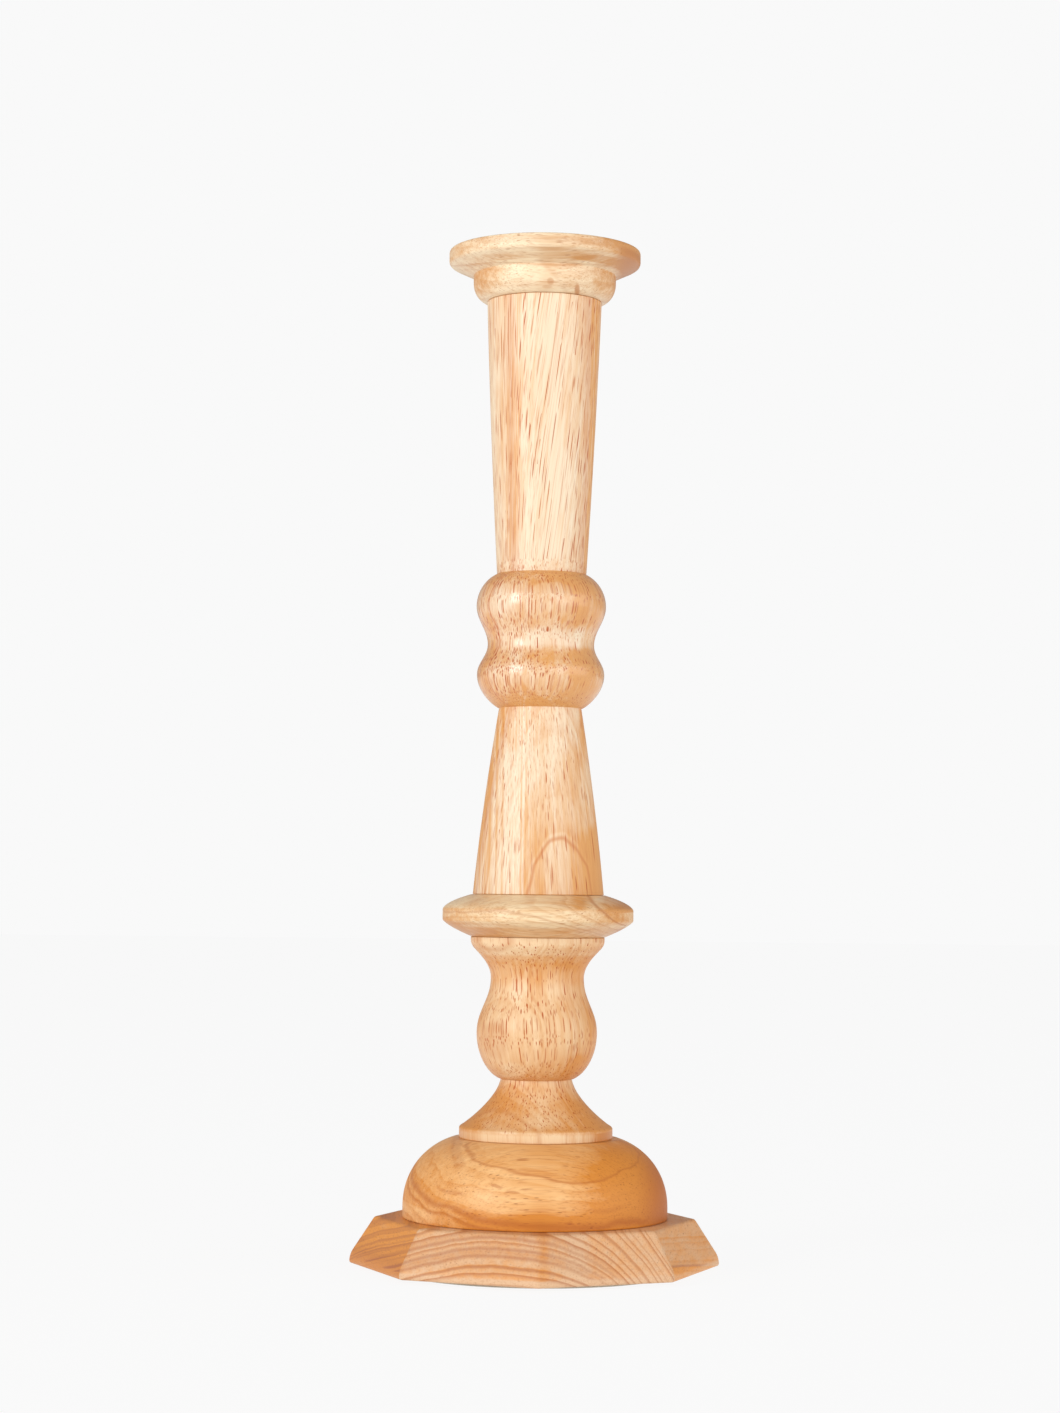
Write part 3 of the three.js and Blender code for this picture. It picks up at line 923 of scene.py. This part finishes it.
def woodMaterial(name, look, growthOf, zonesOf, leanOf=None):
    material, scaled, shader = startMaterial(name)
    turn = tuple(math.radians(angle) for angle in look["fibreTurn"])
    axes = addNode("ShaderNodeSeparateXYZ", {"Vector": scaled}).outputs
    across, height = axes["X"], axes["Z"]
    depth = times(axes["Y"], -1)
    grown = leanOf(scaled, across, height) if leanOf else scaled
    place = addNode("ShaderNodeMapping",
            {"Vector": grown, "Rotation": turn, "Location": look["offset"]}).outputs[0]
    rings = placeGroup(growthRings, {"Place": place, "Growth": growthOf(across, depth, height),
            "Spacing": look["ringSpacing"], "Wander": look["ringWander"], "Seed": look["ringSeed"]})
    fibres = placeGroup(woodFibres, {"Place": place, "Length": look["fibreLength"],
            "Width": look["fibreWidth"]})
    warmth, line, vesselGain, dull, bore, ringShare = zonesOf(rings["Growth"], across, depth, height)
    # painted shade: each wood grows warmer towards its right side, a little towards the front too, over the
    # span and by the warmth its look gives
    shadeFrom, shadeTo, shadeWarmth = look["shadedSide"]
    shadedSide = timesPlus(across, 0.8, times(depth, 0.35))
    warmth = total(warmth, remap(shadedSide, shadeFrom, shadeTo, 0, shadeWarmth))
    warmth = timesPlus(rings["Ring"], look["ringStrength"], warmth)
    line = either(line, times(rings["Line"], look["lineStrength"], ringShare))
    vessels = placeGroup(woodVessels,
            {"Place": place, "Length": look["vesselLength"], "Short Length": look["shortLength"],
            "Width": times(bore, look["vesselWidth"]), "Spacing": look["vesselSpacing"],
            "Amount": times(vesselGain, look["vesselAmount"]),
            "Dark Amount": times(vesselGain, look["darkAmount"])})
    facing = material.node_tree.nodes.new("ShaderNodeTexCoord").outputs["Normal"]
    fibreAxis = Matrix.Identity(3)
    for axis, angle in zip("XYZ", turn):
        fibreAxis = Matrix.Rotation(angle, 3, axis) @ fibreAxis
    along = tuple(fibreAxis.inverted() @ Vector((0, 0, 1)))
    endOn = addNode("ShaderNodeVectorMath", {0: facing, 1: along}, operation="DOT_PRODUCT").outputs["Value"]
    finish = placeGroup(oiledWood, {"Place": place, "Warmth": warmth, "Line": line,
            "Fibre": fibres["Fibre"], "Streak": fibres["Streak"], "Vessels": vessels["Vessels"],
            "Dark": vessels["Dark"], "End Grain": remap(calculate("ABSOLUTE", endOn), 0.12, 1),
            "Pale": look["pale"], "Warm": look["warm"], "Line Colour": look["line"],
            "Vessel Colour": look["vessel"], "Fibre Strength": look["fibreStrength"],
            "Vessel Strength": look["vesselStrength"], "End Strength": look["endStrength"],
            "Gloss": total(dull, look["gloss"])})
    connect(shader, {"Base Color": finish["Colour"], "Roughness": finish["Roughness"],
            "Normal": bump(finish["Height"], look["relief"], 0.0001), "Specular IOR Level": look["shine"]})
    if look.get("coat"):
        connect(shader, {"Coat Weight": remap(dull, 0.02, 0.14, look["coat"], 0), "Coat Roughness": 0.25})
    return material


# height of a curve through a few points, as straight stretches
def stepsBetween(value, points):
    level = points[0][1]
    for (low, lowValue), (high, highValue) in zip(points, points[1:]):
        share = remap(value, low, high, 0, highValue - lowValue, "LINEAR")
        level = total(level, share)
    return level


# half follows the outline, so that a vessel cut by a swelling stays open for longer
def drawnIn(place, height, points):
    share = stepsBetween(height, points)
    return vectors("MULTIPLY", place, vectorOf(share, share, 1))


# a warmer or a paler stretch round one place, over a width on either side
def patch(value, where, width, amount, mask=1.0):
    return times(lineAt(value, where, width), amount, mask)


def strips(across, *places):
    return (patch(across, *place) for place in places)


# an oval patch on the side turned to the front and on the one behind it
def spotOn(across, height, middle, level, width, tall, strength):
    aside = over(less(across, middle), width)
    above = over(less(height, level), tall)
    away = timesPlus(aside, aside, times(above, above))
    return remap(away, 0.15, 1, strength, 0)


def spots(across, height, places):
    return (spotOn(across, height, *place) for place in places)


# growth is the distance across the rings. The zones of each wood give its warmth, with painted shade and
# painted highlights in it, its growth lines, how many vessels it has, how dull it is, how wide the vessels
# are and how much the ring lines show.
# All places are in millimetres: across to the right, depth to the front, height above the table.

columnLook = dict(
    fibreTurn=(-1.5, 0, 0), offset=(0, 0, 0),
    ringSpacing=4.2, ringWander=0.5, ringSeed=0.3, ringStrength=0.22, lineStrength=0.12,
    fibreLength=70, fibreWidth=0.34, fibreStrength=0.62,
    vesselLength=110, shortLength=34, vesselSpacing=0.74, vesselWidth=0.37,
    vesselAmount=0.75, darkAmount=0.55, vesselStrength=1.25,
    endStrength=0.85, gloss=0.28, shadedSide=(4, 17, 0.3), relief=0.15, shine=0.4, coat=0.65,
    pale=tint(233, 212, 182), warm=tint(216, 156, 90), line=tint(196, 118, 60),
    vessel=tint(172, 78, 26),
)


def columnGrowth(across, depth, height):
    lean = stepsBetween(height, [(134, 0.4), (185, 0.3), (231, 0.2), (320, 0.114)])
    sheet = stepsBetween(height, [(134, -1.2), (185, 6.4), (231, 9.4), (320, 13.8)])
    return less(timesPlus(across, lean, depth), sheet)


def columnLean(scaled, across, height):
    share = remap(across, -14, 1, 0.1, 1)
    above = less(either(height, 230), 290)
    shift = times(above, share, -0.13)
    leant = vectors("ADD", scaled, vectorOf(shift))
    return drawnIn(leant, height, [(124, 0.8), (190, 1), (201, 0.83), (211.5, 0.9), (224, 0.82), (236, 1)])


# warmer and paler patches, the warmer ones at the right side (across 10.5 and more) painted shade: across,
# height, half width, half height, warmth
columnPatches = [(6.5, 262, 3.5, 13, -0.4), (-9, 256, 4, 24, 0.3), (-9.5, 181, 4, 11, 0.4),
                 (-3.5, 166, 4, 10, -0.3), (10.5, 165, 4, 13, 0.3), (13, 198, 6, 5, 0.3),
                 (17, 207, 5, 7, 0.45), (15, 182, 3, 9, 0.25)]


def columnZones(growth, across, depth, height):
    behind = remap(growth, -2.2, 0.3, 1, 0)
    blush = lineAt(growth, 0.2, 2.6)
    knop = times(remap(height, 184, 193), remap(height, 236, 227))
    # painted highlight: this band at the waist, right of the middle, is where the knop is painted paler
    # below
    waist = times(lineAt(height, 209.5, 6.5), remap(across, -9, 2, 0.15, 1))
    stripes = noiseAlong(growth, 0.9, 2.0)
    striped = remap(stripes, 0.42, 0.58, 0.2, 1)
    rightBack = times(remap(across, 0, 5, 0, 0.8), striped)
    lowBack = remap(height, 240, 200, 0.2, 0.6)
    warmth = times(behind, either(rightBack, lowBack))
    # painted shade: warmer towards the right edge of the lower taper
    outer = remap(times(across, remap(height, 160, 140)), 9, 16, 0, 0.5)
    warmth = either(warmth, outer)
    low = times(remap(height, 178, 140, 0.05, 0.38), remap(across, -12, -4))
    warmth = timesPlus(low, remap(height, 186, 182), warmth)
    # painted shade and painted highlight: the knop warms towards its right side and is painted paler at the
    # waist
    right = remap(across, 2, 14, 0.26, 0.46)
    lowKnop = times(remap(height, 209, 204), 0.14)
    onKnop = times(total(right, lowKnop), remap(waist, 0, 1, 1, -0.7))
    warmth = timesPlus(knop, onKnop, warmth)
    taper = remap(height, 190, 188)
    # painted shade: warmer at the left edge of the lower taper
    leftEdgeShade = remap(times(across, taper), -11, -17, 0, 0.3)
    shaft = remap(height, 234, 238)
    upperBead = times(lineAt(height, 222, 10), knop)
    lowerBead = times(lineAt(height, 201, 9), knop)
    bands = noiseAlong(across, 0.75, 2.0)
    banded = times(remap(bands, 0.38, 0.62, -0.35, 0.4, "LINEAR"), times(taper, remap(across, 0, -6)))
    fine = remap(noiseAlong(across, 2.0, 2.0), 0.4, 0.58)
    highTaper = times(taper, remap(height, 165, 175))
    insideArch = times(remap(growth, 21.4, 22.4), remap(height, 160, 150))
    # painted shade: the strips at 13 and 15 warm the right of the upper bead and of the taper; painted
    # highlight: the strip at -8.5 pales the left of the lower bead
    warmth = total(warmth, *spots(across, height, columnPatches), leftEdgeShade, banded,
            times(insideArch, -0.12), *strips(across, (-9.5, 5, 0.45, times(shaft, fine)),
            (3.5, 4, -0.3, shaft), (13, 5.5, 0.6, upperBead), (8.5, 4, -0.25, lowerBead),
            (1.5, 5, 0.3, lowerBead), (-8.5, 4, -0.5, lowerBead), (-13, 5, -0.25, upperBead),
            (-1, 5, 0.25, taper), (15, 3.5, 0.55, highTaper)))
    arch = times(lineAt(growth, 21.3, 0.42), remap(height, 160, 150))
    line = either(times(blush, remap(knop, 0, 1, 0.36, 0.15)), times(arch, 0.6),
            times(lineAt(growth, 0.1, 0.5), remap(knop, 0, 1, 0.5, 1.0)))
    gain = remap(lineAt(growth, 0.5, 4.5), 0, 1, 0.8, 1.35, "LINEAR")
    gain = times(gain, remap(times(knop, across), 0, 14, 1, 0.5))
    knopLeft = times(knop, remap(across, -1, -9, 0.15, 0.75))
    gain = times(gain, total(knopLeft, 1), timesPlus(taper, -0.2, 1))
    shiny = less(knop, times(waist, 0.6))
    dull = times(less(1.0, shiny), 0.16)
    bore = total(1.0, times(knop, 0.25), times(taper, -0.1), times(waist, -0.35))
    return warmth, line, gain, dull, bore, 1.0


panLook = dict(
    fibreTurn=(0, -90, 8), offset=(40, 10, 7),
    ringSpacing=3.4, ringWander=0.9, ringSeed=1.7, ringStrength=0.3, lineStrength=0.2,
    fibreLength=22, fibreWidth=0.4, fibreStrength=0.55,
    vesselLength=16, shortLength=7, vesselSpacing=0.85, vesselWidth=0.36,
    vesselAmount=0.6, darkAmount=0.45, vesselStrength=0.6,
    endStrength=0.7, gloss=0.33, shadedSide=(6, 30, 0.2), relief=0.15, shine=0.3,
    pale=tint(236, 214, 180), warm=tint(204, 148, 90), line=tint(186, 124, 74),
    vessel=tint(156, 90, 50),
)


def panGrowth(across, depth, height):
    bowl = times(calculate("POWER", calculate("ABSOLUTE", across), 2), 0.004)
    return total(timesPlus(depth, 0.35, height), bowl)


def panZones(growth, across, depth, height):
    moulding = remap(height, 334.6, 334.0)
    under = times(remap(height, 336.5, 335.5), remap(height, 334.0, 334.6))
    # painted shade: the pan grows warmer towards its right side
    edge = timesPlus(less(height, 326), 0.9, across)
    rightSide = remap(edge, 3, 9, 0, 0.3)
    # the underside is warmest at its right end: end grain deepened by painted shade
    underside = total(remap(across, -27, -20, 0.0, 0.3), *strips(across, (-1, 12, -0.3), (13, 6, 0.3)),
            remap(across, 24, 30, 0, 1.1))
    warmth = total(rightSide, times(under, underside))
    warmth = total(warmth, *strips(across, (-12, 7, -0.3, moulding), (0, 5, 0.25, moulding),
            (14, 4, -0.25, moulding)))
    warmth = timesPlus(moulding, remap(across, 4, 14, -0.05, -0.35), warmth)
    rimBand = remap(height, 335.5, 337, 0, -0.2)
    # painted shade together with end grain: the right end is made warmer
    warmth = total(warmth, rimBand, remap(across, 22, 30, 0, 0.55))
    heartLine = times(lineAt(edge, 5.5, 1.8), times(moulding, 0.2))
    # the darker right end is end grain deepened by painted shade, joined below with the dark marks
    rightEnd = times(remap(across, 21, 28, 0, 0.9), remap(height, 340.8, 339))
    marksAndShadedEnd = either(rightEnd, *spots(across, height, panKnots))
    line = either(patch(growth, 341, 0.6, 0.3), heartLine, marksAndShadedEnd)
    return warmth, line, 1.0, 0.0, 1.0, 1.0


# dark marks on the moulding: across, height, half width, half height, strength
panKnots = [(1.4, 327.2, 1.5, 1.5, 0.5), (0.4, 325.7, 2.2, 0.7, 0.35), (10.4, 325.4, 1.1, 2.2, 0.75),
            (-7.5, 326.2, 3.4, 0.5, 0.35), (-9.5, 328.2, 2.8, 0.4, 0.25)]


collarLook = dict(panLook, offset=(11, 32, 3), ringSpacing=3.8, ringStrength=0.3, lineStrength=0.2,
                  endStrength=0.5, shadedSide=(10, 30, 0.15), vesselAmount=0.4,
                  pale=tint(232, 206, 166), warm=tint(208, 148, 86), line=tint(176, 110, 60))


def collarGrowth(across, depth, height):
    square = times(across, across)
    growth = timesPlus(square, 0.0157, height)
    growth = timesPlus(across, 0.26, growth)
    return timesPlus(depth, 0.32, growth)


def collarZones(growth, across, depth, height):
    line = either(patch(growth, 127.8, 0.7, 0.4), patch(growth, 138.4, 0.7, 0.65))
    warmth = either(remap(growth, 137, 139.5, 0.25, 0.5), remap(growth, 120, 128, 0.5, 0.25))
    band = times(remap(height, 113, 114), remap(height, 119.5, 118.5))
    warmth = timesPlus(band, -0.3, warmth)
    lowLeft = times(remap(height, 117, 114), remap(across, -22, -30, 0, 0.8))
    topLeft = times(remap(height, 119, 120), remap(across, -20, -26, 0, -0.5))
    # painted shade: warmer towards the right edge
    warmth = total(warmth, total(lowLeft, topLeft), remap(across, 25, 30, 0, 0.3))
    top = remap(height, 119, 120)
    bevel = remap(height, 114, 113)
    # painted shade: the lower bevel is also warmed at its right end, below
    warmth = total(warmth, *strips(across, (-6, 12, -0.2, top), (13, 5, 0.45, top), (19, 5, -0.3, top),
            (-18, 12, 0.45, bevel)), remap(times(across, bevel), 25, 30, 0, 0.3),
            remap(times(across, band), 25, 30, 0, -0.7))
    # painted shade together with end grain: a darker line at the right ends of the top and the lower bevel
    ends = times(across, total(top, bevel))
    line = either(line, remap(ends, 21, 28, 0, 0.4))
    return warmth, line, 1.0, 0.0, 1.0, 1.0


balusterLook = dict(columnLook, fibreTurn=(2, 3, 0), offset=(80, 15, 33), ringSpacing=4.6, ringStrength=0.3,
                    lineStrength=0.15, vesselLength=60, shortLength=24, vesselWidth=0.35, vesselSpacing=0.72,
                    vesselAmount=0.95, darkAmount=0.7, endStrength=0.5, shadedSide=(3, 20, 0.3), gloss=0.34,
                    shine=0.25, coat=0, fibreStrength=0.36,
                    pale=tint(230, 200, 160), warm=tint(210, 144, 76), line=tint(190, 118, 60))


def balusterLean(scaled, across, height):
    return drawnIn(scaled, height, [(46, 0.77), (63, 1.12), (78, 0.86), (96, 0.98), (106, 0.84)])


def balusterGrowth(across, depth, height):
    return total(times(less(across, depth), 0.7071), timesPlus(height, 0.055, 7.8))


# warmth: across, height, half width, half height, strength
balusterPatches = [(-8, 66, 5, 4, -0.35), (-6.5, 93, 3.5, 6, -0.35), (14, 68, 5, 5, 0.3)]


def balusterZones(growth, across, depth, height):
    line = either(patch(growth, 0, 0.45, 0.3), patch(growth, 9.6, 0.5, 0.3), patch(growth, -7.5, 1.2, 0.35))
    flange = remap(height, 103.5, 105, 0, -0.45)
    cove = times(remap(height, 103.5, 101), remap(height, 92, 97, 0, 0.35))
    foot = times(remap(height, 66, 58, 0, 0.22), remap(height, 50, 55, -0.2, 1))
    rim = remap(height, 46.5, 45.5, 0, -0.25)
    # painted shade: warmer towards both side edges
    sides = remap(calculate("ABSOLUTE", across), 12, 26, 0, 0.65)
    warmth = total(0.2, flange, total(cove, foot))
    onRim = remap(height, 47, 46)
    # painted shade: a darker line towards the right end of the rim
    line = either(line, remap(times(across, onRim), 16, 23, 0, 0.6))
    flare = times(remap(height, 61, 57), remap(height, 47, 50))
    warmth = total(warmth, *spots(across, height, balusterPatches))
    neck = lineAt(height, 94, 8)
    bulb = lineAt(height, 78, 12)
    # painted shade: the right end of the rim and the left edge are made warmer
    warmth = total(warmth, rim, sides,
            *strips(across, (2, 9, -0.4, flare), (-12, 7, 0.25, flare), (-10, 10, 0.3, onRim),
            (5, 7, -0.35, onRim), (5.5, 5, -0.3, neck), (-1, 3, 0.2, neck), (12, 5, -0.25, bulb)),
            remap(times(across, onRim), 18, 24, 0, 1.4), remap(across, -26, -14, 0.3, 0))
    gain = times(remap(height, 46.4, 47.6, 0.12, 1), remap(height, 104, 106, 1, 0.5))
    return warmth, line, gain, 0.0, 1.0, remap(onRim, 0, 1, 1, 0.3)


domeLook = dict(
    fibreTurn=(0, -90, 4), offset=(5, 71, 19),
    ringSpacing=4.4, ringWander=1.3, ringSeed=0.55, ringStrength=0.42, lineStrength=0.08,
    fibreLength=34, fibreWidth=0.5, fibreStrength=0.42,
    vesselLength=18, shortLength=5, vesselSpacing=1.0, vesselWidth=0.4,
    vesselAmount=0.3, darkAmount=0.3, vesselStrength=0.6,
    endStrength=0.5, gloss=0.4, shadedSide=(20, 42, 1.0), relief=0.2, shine=0.25,
    pale=tint(235, 186, 128), warm=tint(210, 134, 52), line=tint(166, 84, 32),
    vessel=tint(136, 68, 30),
)


def domeGrowth(across, depth, height):
    square = times(across, across)
    growth = timesPlus(square, 0.0028, height)
    growth = timesPlus(across, 0.075, growth)
    return timesPlus(depth, 0.3575, growth)


# darker streaks in the dome: across, growth, half width, half height, strength
domeMarks = [(-26, 47, 3.5, 1.6, 0.25), (-13, 44.5, 2.6, 0.5, 0.4), (-8, 43.4, 3, 0.4, 0.4),
             (10, 36.5, 2.5, 0.6, 0.5), (-22, 36, 9, 1.3, 0.4), (-28, 41, 6, 0.9, 0.3),
             (22, 40, 8, 1.2, 0.2)]


def domeZones(growth, across, depth, height):
    inside = remap(growth, 47.6, 49, 0.3, 0.55)
    low = times(remap(growth, 41, 34), remap(across, -36, -14, 0.1, 1), remap(growth, 27, 20, 1, 0.45))
    line = either(patch(growth, 48.8, 0.6, 0.4), patch(growth, 35.4, 2.0, 0.5),
            patch(growth, 32.3, 1.3, 0.4))
    # painted shade: the dome darkens towards its right side, and its darker right end is end grain deepened
    # by painted shade
    side = remap(across, -20, 44, -0.2, 0.15)
    line = either(line, remap(across, 30, 42, 0, 0.68), *spots(across, growth, domeMarks))
    # painted shade: warmer at the lower right; painted light: the lower left end is made paler
    lowRight = times(lineAt(across, 24, 16), remap(height, 30, 24, 0, 0.15))
    foot = remap(height, 27, 21)
    warmth = total(inside, low, side, lowRight, patch(across, 2, 16, 0.35, foot),
            remap(times(across, foot), -30, -38, 0, -0.5))
    return warmth, line, 1.0, 0.0, 1.0, 1.0


plinthLook = dict(
    fibreTurn=(90, 0, 0), offset=(3, 8, 41),
    ringSpacing=2.9, ringWander=0.4, ringSeed=0.1, ringStrength=0.6, lineStrength=0.7,
    fibreLength=24, fibreWidth=0.5, fibreStrength=0.4,
    vesselLength=16, shortLength=6, vesselSpacing=0.9, vesselWidth=0.36,
    vesselAmount=0.5, darkAmount=0.25, vesselStrength=0.5,
    endStrength=0.0, gloss=0.45, shadedSide=(50, 80, 0.2), relief=0.2, shine=0.25,
    pale=tint(217, 177, 139), warm=tint(220, 146, 70), line=tint(170, 104, 66),
    vessel=tint(140, 84, 54),
)


def plinthGrowth(across, depth, height):
    aside = total(across, 10.2)
    square = times(aside, aside)
    growth = timesPlus(square, 0.00575, height)
    right = either(aside, 0.0)
    growth = timesPlus(calculate("POWER", right, 3.0), 0.00012, growth)
    flat = timesPlus(depth, -0.1, total(height, 60.0))
    return mixValue(plinthSide(across, depth), growth, flat)


# 1 on the side facets to the right, or to the left when across is turned round
def plinthSide(across, depth):
    beyond = less(across, calculate("ABSOLUTE", depth))
    return remap(beyond, 0.6, 1.4)


def plinthZones(growth, across, depth, height):
    line = either(*(patch(growth, where, 1.1, 0.55) for where in (15.9, 12.7, 10.6)))
    leftEnd = plinthSide(times(across, -1.0), depth)
    stripes = noiseAlong(growth, 0.62, 1.5)
    line = either(line, times(leftEnd, times(remap(stripes, 0.47, 0.62), remap(height, 5, 12, 0.95, 0.35))))
    warmth = either(remap(leftEnd, 0, 1, 0.2, 1.0), remap(growth, 9, 4, 0.2, 0.3))
    line = times(line, remap(across, 2, 8, 1, 0.68))
    rightEnd = plinthSide(across, depth)
    under = times(remap(growth, 62.3, 61.7), rightEnd)
    line = either(line, patch(growth, 62.2, 0.8, 0.6))
    line = times(line, remap(times(rightEnd, growth), 63, 64, 1, 0.0))
    warmth = either(warmth, times(under, 0.75))
    warmth = timesPlus(rightEnd, 0.25, warmth)
    bottom = remap(height, 4.4, 2.8)
    front = lineAt(across, 0, 24)
    line = times(line, remap(bottom, 0, 1, 1, 0.15))
    line = either(line, times(leftEnd, remap(height, 11, 5, 0, 0.4)))
    warmth = total(warmth, times(leftEnd, remap(height, 12, 5, 0, 0.35)), times(bottom, -0.5),
            patch(bottom, 1, 1, -0.8, front),
            *strips(across, (1.8, 2.6, 0.45, remap(bottom, 0, 1, 1, 0)), (12, 7, -0.4)))
    return warmth, line, 1.0, 0.0, 1.0, remap(rightEnd, 0, 1, 1, 0.2)


def metalMaterial(name, bright, dull, marks, bloom, polish, relief):
    material, place, shader = startMaterial(name)
    metal = placeGroup(turnedMetal, {"Place": place, "Bright": bright, "Dull": dull, "Marks": marks,
            "Bloom": bloom, "Polish": polish})
    connect(shader, {"Base Color": metal["Colour"], "Roughness": metal["Roughness"],
            "Normal": bump(metal["Height"], relief, 0.00005), "Metallic": 1.0})
    return material


def feltMaterial(name, light, shade):
    material, place, shader = startMaterial(name)
    felt = placeGroup(matFelt, {"Place": place, "Light": light, "Shade": shade})
    connect(shader, {"Base Color": felt["Colour"], "Normal": bump(felt["Height"], 0.6, 0.0002),
            "Roughness": 0.95, "Specular IOR Level": 0.1, "Sheen Weight": 0.3})
    return material


brass = metalMaterial("turned_brass", tint(232, 200, 128), tint(168, 128, 68), 0.25, 0.4, 0.22, 0.5)
screwBrass = metalMaterial("screw_brass", tint(214, 176, 100), tint(132, 96, 48), 0.12, 0.8, 0.3, 0.3)
steel = metalMaterial("zinc_steel", tint(206, 208, 206), tint(140, 142, 138), 0.3, 0.7, 0.32, 0.3)
feltCloth = feltMaterial("wool_felt", tint(206, 196, 178), tint(150, 138, 120))
makePan(woodMaterial("pan_wood", panLook, panGrowth, panZones))
makeColumn(woodMaterial("column_wood", columnLook, columnGrowth, columnZones, columnLean))
makeCollar(woodMaterial("collar_wood", collarLook, collarGrowth, collarZones))
makeBaluster(woodMaterial("baluster_wood", balusterLook, balusterGrowth, balusterZones, balusterLean))
makeDome(woodMaterial("dome_wood", domeLook, domeGrowth, domeZones))
makePlinth(woodMaterial("plinth_wood", plinthLook, plinthGrowth, plinthZones))
makeCup(brass)
makeScrews(screwBrass, steel)
makeWasher(steel)
makeFelt(feltCloth)
print("pieces made")


white = (1, 1, 1, 1)
studio = {
    "backdrop": 0.947,  # brightness behind the candlestick
    "surround": 0.92,  # brightness of the room in front of it
    "behind": 0.45,  # share of that behind it
    "above": 0.5,  # share of that overhead
    "floorGlow": 0.912,
    "aim": 0.17,  # height the lights point at
    "key": {"azimuth": 47, "elevation": 15, "distance": 1.6, "width": 0.5, "height": 0.85, "power": 12},
    "fill": {"azimuth": -55, "elevation": 12, "distance": 1.8, "width": 2.4, "height": 1.1, "power": 12},
}


def makeStage():
    reach = 6
    below = -0.02 * mm
    corners = [(-reach, -reach, below), (reach, -reach, below), (reach, reach, below),
            (-reach, reach, below)]
    floor = meshPiece("floor_sheet", corners, [(0, 1, 2, 3)])
    material = bpy.data.materials.new("floor_paper")
    material.use_nodes = True
    shader = material.node_tree.nodes["Principled BSDF"]
    connect(shader, {"Base Color": (0.05, 0.05, 0.05, 1), "Roughness": 0.9, "Specular IOR Level": 0,
            "Emission Color": white, "Emission Strength": studio["floorGlow"]})
    floor.data.materials.append(material)


def makeWorld():
    world = bpy.data.worlds.new("studio")
    bpy.context.scene.world = world
    world.use_nodes = True
    tree = world.node_tree
    tree.nodes.clear()
    path = tree.nodes.new("ShaderNodeLightPath")
    seen = addNode("ShaderNodeBackground", {"Color": white, "Strength": studio["backdrop"]}, tree)
    direction = tree.nodes.new("ShaderNodeTexCoord").outputs["Generated"]
    axes = addNode("ShaderNodeSeparateXYZ", {"Vector": direction}).outputs
    behind = remap(axes["Y"], -0.1, 0.7, 1, studio["behind"])
    above = remap(axes["Z"], 0.2, 0.95, 1, studio["above"])
    strength = times(behind, above, studio["surround"])
    around = addNode("ShaderNodeBackground", {"Color": white, "Strength": strength})
    mix = tree.nodes.new("ShaderNodeMixShader")
    output = tree.nodes.new("ShaderNodeOutputWorld")
    connect(mix, {0: path.outputs["Is Camera Ray"], 1: around.outputs[0], 2: seen.outputs[0]})
    connect(output, {"Surface": mix.outputs[0]})


# azimuth counts degrees to the left of the camera
def makeLight(name, size):
    data = bpy.data.lights.new(name, "AREA")
    data.shape = "RECTANGLE"
    data.size = size["width"]
    data.size_y = size["height"]
    data.energy = size["power"]
    lamp = bpy.data.objects.new(name, data)
    bpy.context.scene.collection.objects.link(lamp)
    azimuth = math.radians(size["azimuth"])
    elevation = math.radians(size["elevation"])
    direction = Vector((-math.sin(azimuth) * math.cos(elevation), -math.cos(azimuth) * math.cos(elevation),
            math.sin(elevation)))
    target = Vector((0, 0, studio["aim"]))
    lamp.location = target + direction * size["distance"]
    lamp.rotation_euler = direction.to_track_quat("Z", "Y").to_euler()


makeStage()
makeWorld()
makeLight("key", studio["key"])
makeLight("fill", studio["fill"])
bpy.context.scene.view_settings.view_transform = "Standard"
print("stage and lights ready")
